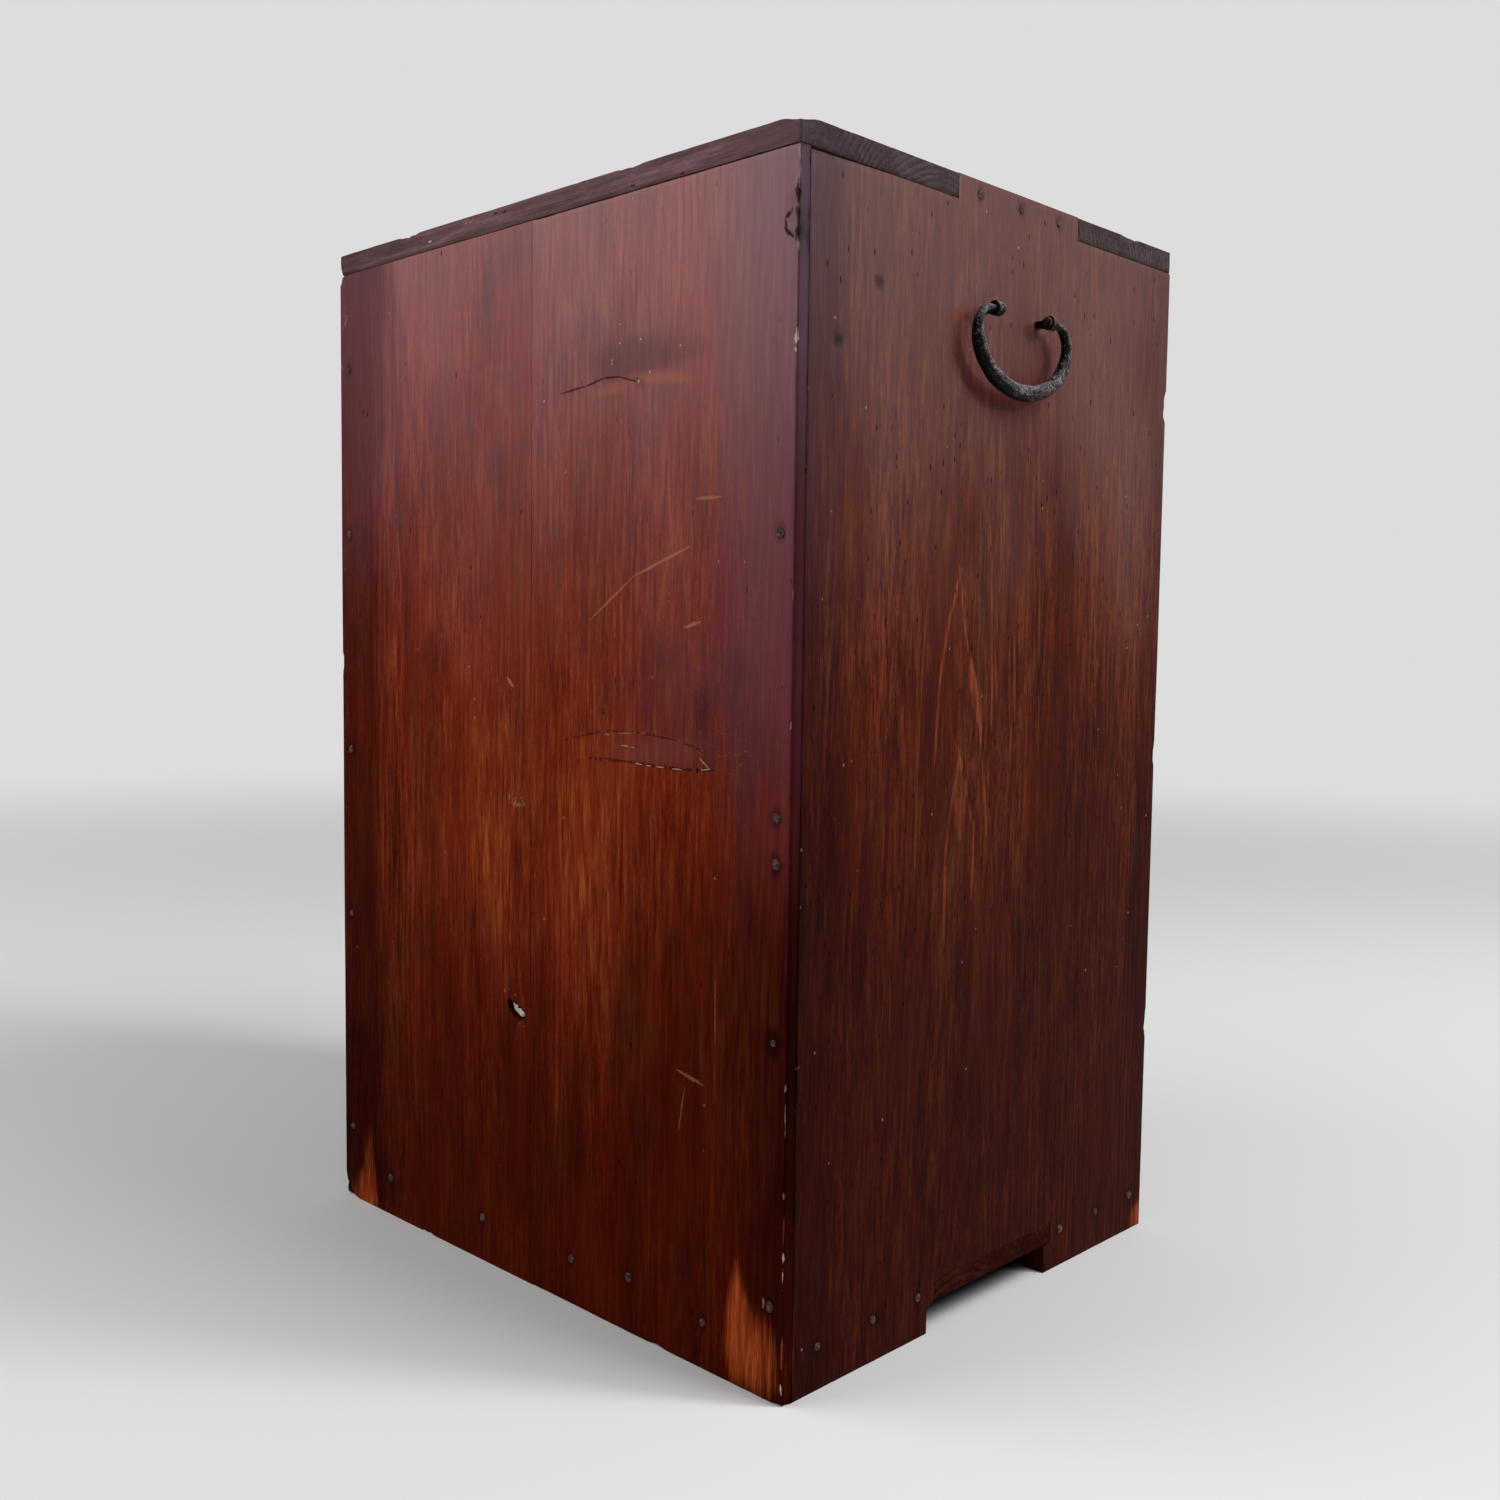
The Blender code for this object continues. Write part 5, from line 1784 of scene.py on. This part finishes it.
def forged_bail(axis_place):
    """An octagon drawn along the C, with soft corners and hammer marks."""
    frames = bail_frames(axis_place)
    bm = bmesh.new()
    half_side = Matrix.Rotation(math.pi / BAIL_SIDES, 4, "Z")
    bmesh.ops.create_circle(
        bm,
        cap_ends=True,
        segments=BAIL_SIDES,
        radius=BAIL_FULLNESS,
        matrix=frames[0] @ half_side,
    )
    ring = bm.edges[:]
    for before, after in zip(frames, frames[1:]):
        made = bmesh.ops.extrude_edge_only(bm, edges=ring)["geom"]
        verts = [item for item in made if isinstance(item, bmesh.types.BMVert)]
        ring = [item for item in made if isinstance(item, bmesh.types.BMEdge)]
        ring = [edge for edge in ring if edge.verts[0] in verts and edge.verts[1] in verts]
        bmesh.ops.transform(bm, matrix=after @ before.inverted(), verts=verts)
    bmesh.ops.contextual_create(bm, geom=ring)
    bmesh.ops.recalc_face_normals(bm, faces=bm.faces)
    turns = [(edge, edge.calc_face_angle(0.0)) for edge in bm.edges]
    bmesh.ops.bevel(
        bm,
        geom=[edge for edge, turn in turns if EDGE_TURN_LEAST < turn < EDGE_TURN_MOST],
        offset=EDGE_SHARE,
        offset_type="PERCENT",
        affect="EDGES",
        segments=2,
        profile=0.5,
        material=-1,
    )
    bm.normal_update()
    for vert in bm.verts:
        blow = noise.noise(vert.co * HAMMER_SCALE)
        blow += HAMMER_FINE_SHARE * noise.noise(vert.co * HAMMER_SCALE * HAMMER_FINER)
        vert.co += vert.normal * (blow * HAMMER_DEPTH)
    return bm


for body, axis_place in bail_axes.items():
    node = body.replace("handle", "bail")
    finish_piece(f"forged_{node}", forged_bail(axis_place), bail_iron, body, "forged_iron", node)

# %% [markdown]
# ## Nail heads
#
# A nail head is a short cone with a rounded rim, tilted and stretched a little by the hammer. All
# heads of one row make one piece.

# %% Drive the nails
HEAD_RADIUS = 0.0025
HEAD_DEPTH = 0.0016
HEAD_PROUD = 0.0004
HEAD_SIZES = (0.85, 1.15)
HEAD_LEAN = 0.1
HEAD_STRETCH = (0.9, 1.1)
HEAD_TAPER = 0.9
HEAD_SIDES = 14
RIM_TURN = 0.9
RIM_ROUND = 0.0004


def nail_head(bm, place, facing):
    """Adds one head, sunk in the wood and a little proud of it."""
    radius = HEAD_RADIUS * draw.uniform(*HEAD_SIZES)
    turn = facing.to_track_quat("Z", "Y").to_matrix().to_4x4()
    nod = Matrix.Rotation(stray(HEAD_LEAN), 4, "X")
    lean = nod @ Matrix.Rotation(stray(HEAD_LEAN), 4, "Y")
    stretch = (draw.uniform(*HEAD_STRETCH), draw.uniform(*HEAD_STRETCH), 1.0, 1.0)
    sunk = place - facing * (HEAD_DEPTH / 2 - HEAD_PROUD)
    made = bmesh.ops.create_cone(
        bm,
        cap_ends=True,
        segments=HEAD_SIDES,
        radius1=radius,
        radius2=radius * HEAD_TAPER,
        depth=HEAD_DEPTH,
        matrix=Matrix.Translation(sunk) @ turn @ lean @ Matrix.Diagonal(stretch),
    )
    edges = dict.fromkeys(edge for vert in made["verts"] for edge in vert.link_edges)
    rim = [edge for edge in edges if edge.calc_face_angle(0.0) > RIM_TURN]
    outer = [edge for edge in rim if all((vert.co - place).dot(facing) > 0 for vert in edge.verts)]
    bmesh.ops.bevel(
        bm,
        geom=outer,
        offset=RIM_ROUND,
        affect="EDGES",
        segments=2,
        profile=0.5,
        material=-1,
    )


FACING = {
    "back": Vector((0, 1, 0)),
    "left": Vector((-1, 0, 0)),
    "right": Vector((1, 0, 0)),
    "top": Vector((0, 0, 1)),
    "panel": Vector((0, -1, 0)),
}
for name, places in nail_places.items():
    bm = bmesh.new()
    face = name.split("_")[0]
    for place in places:
        nail_head(bm, place, FACING[face])
    body = "front_panel" if face == "panel" else "case"
    finish_piece(name, bm, nail_iron, body, "forged_iron")

# %% [markdown]
# ## CAD pieces that stay as they are
#
# The eyes and the pieces inside are right in the CAD model. They only take a finish.

# %% Dress the other nodes
KEPT = {
    "upper_rear_rail": raw_wood,
    "sill_rear_strip": raw_wood,
    "shelf_board": raw_wood,
    "left_shelf_bearer": raw_wood,
    "right_shelf_bearer": raw_wood,
    "lower_panel_batten": raw_wood,
    "upper_panel_batten": raw_wood,
    "left_rear_eye": bail_iron,
    "left_front_eye": bail_iron,
    "right_rear_eye": bail_iron,
    "right_front_eye": bail_iron,
}
for node, finish in KEPT.items():
    nodes[node].data.materials.clear()
    nodes[node].data.materials.append(finish.material)
print("kept", len(KEPT), "CAD nodes")

# %% [markdown]
# ## Floor and light
#
# The chest stands on a pale floor that fades into a pale backdrop. The floor under the chest is
# painted dark as shade, so the finger gaps look as deep as they are.

# %% Lay the floor
FLOOR_RADIUS = 7.0
FLOOR_SIDES = 96
FLOOR_TONE = hue(0.74, 0.74, 0.7437)
BACKDROP = hue(0.72, 0.72, 0.72)
# Painted shade under the chest.
UNDER_CHEST_SHADE = hue(0.02, 0.02, 0.02)
UNDER_FADE = 0.022
FADE_START = 0.9
FADE_END = 3.4

ground = Finish("floor", Roughness=0.85, Specular_IOR_Level=0.1)
# Painted shade: the floor is dark under the chest and takes its own tone just outside it.
beside_chest = abs(ground.x).rise(HALF_WIDTH - UNDER_FADE, HALF_WIDTH)
beyond_chest = abs(ground.y).rise(BACK - UNDER_FADE, BACK)
outside = beside_chest.most(beyond_chest)
ground.feed(Base_Color=ground.blend(outside, UNDER_CHEST_SHADE, FLOOR_TONE))
away = ground.root(ground.x * ground.x + ground.y * ground.y)
shaded = Field(ground, ground.shader.outputs["BSDF"])
glow = ground.node("ShaderNodeEmission", None, {"Color": BACKDROP, "Strength": 1.0})
faded = away.rise(FADE_START, FADE_END)
surface = ground.node("ShaderNodeMixShader", None, {0: faded, 1: shaded, 2: glow})
output = ground.tree.nodes["Material Output"]
ground.tree.links.new(surface.socket, output.inputs["Surface"])

bm = bmesh.new()
bmesh.ops.create_circle(bm, cap_ends=True, segments=FLOOR_SIDES, radius=FLOOR_RADIUS)
floor_mesh = bpy.data.meshes.new("floor")
bm.to_mesh(floor_mesh)
bm.free()
floor_mesh.materials.append(ground.material)
floor = bpy.data.objects.new("floor", floor_mesh)
bpy.context.scene.collection.objects.link(floor)
print("floor radius", FLOOR_RADIUS)

# %% [markdown]
# The backdrop is bright where it is seen, in a reflection too, and dimmer as a light. Three soft
# lamps stand high round the chest, so the upper part of each face catches a sheen and the lower
# part stays deep red.

# %% Backdrop and lamps
SKY_LIGHT = 0.40

world = bpy.data.worlds.new("backdrop")
world.use_nodes = True
bpy.context.scene.world = world
sky = Network(world.node_tree)
rays = sky.node("ShaderNodeLightPath").socket.node
to_camera = Field(sky, rays.outputs["Is Camera Ray"])
in_gloss = Field(sky, rays.outputs["Is Glossy Ray"])
through_clear = Field(sky, rays.outputs["Is Transmission Ray"])
seen = to_camera.most(in_gloss).most(through_clear)
strength = seen * (1.0 - SKY_LIGHT) + SKY_LIGHT
background = sky.tree.nodes["Background"]
background.inputs["Color"].default_value = BACKDROP
sky.tree.links.new(strength.socket, background.inputs["Strength"])

LAMPS = (
    ("key_lamp", (-1.70, -0.60, 2.20), 1.2, 40.0),
    ("fill_lamp", (1.40, 1.75, 1.65), 2.0, 36.0),
    ("side_lamp", (-2.10, -1.20, 1.50), 0.5, 26.0),
)
for name, place, size, power in LAMPS:
    lamp_data = bpy.data.lights.new(name, "AREA")
    lamp_data.shape = "SQUARE"
    lamp_data.size = size
    lamp_data.energy = power
    lamp = bpy.data.objects.new(name, lamp_data)
    lamp.location = place
    aim_at = Vector((0.0, 0.0, HEIGHT / 2)) - lamp.location
    lamp.rotation_euler = aim_at.to_track_quat("-Z", "Y").to_euler()
    bpy.context.scene.collection.objects.link(lamp)
print(len(LAMPS), "lamps ready")
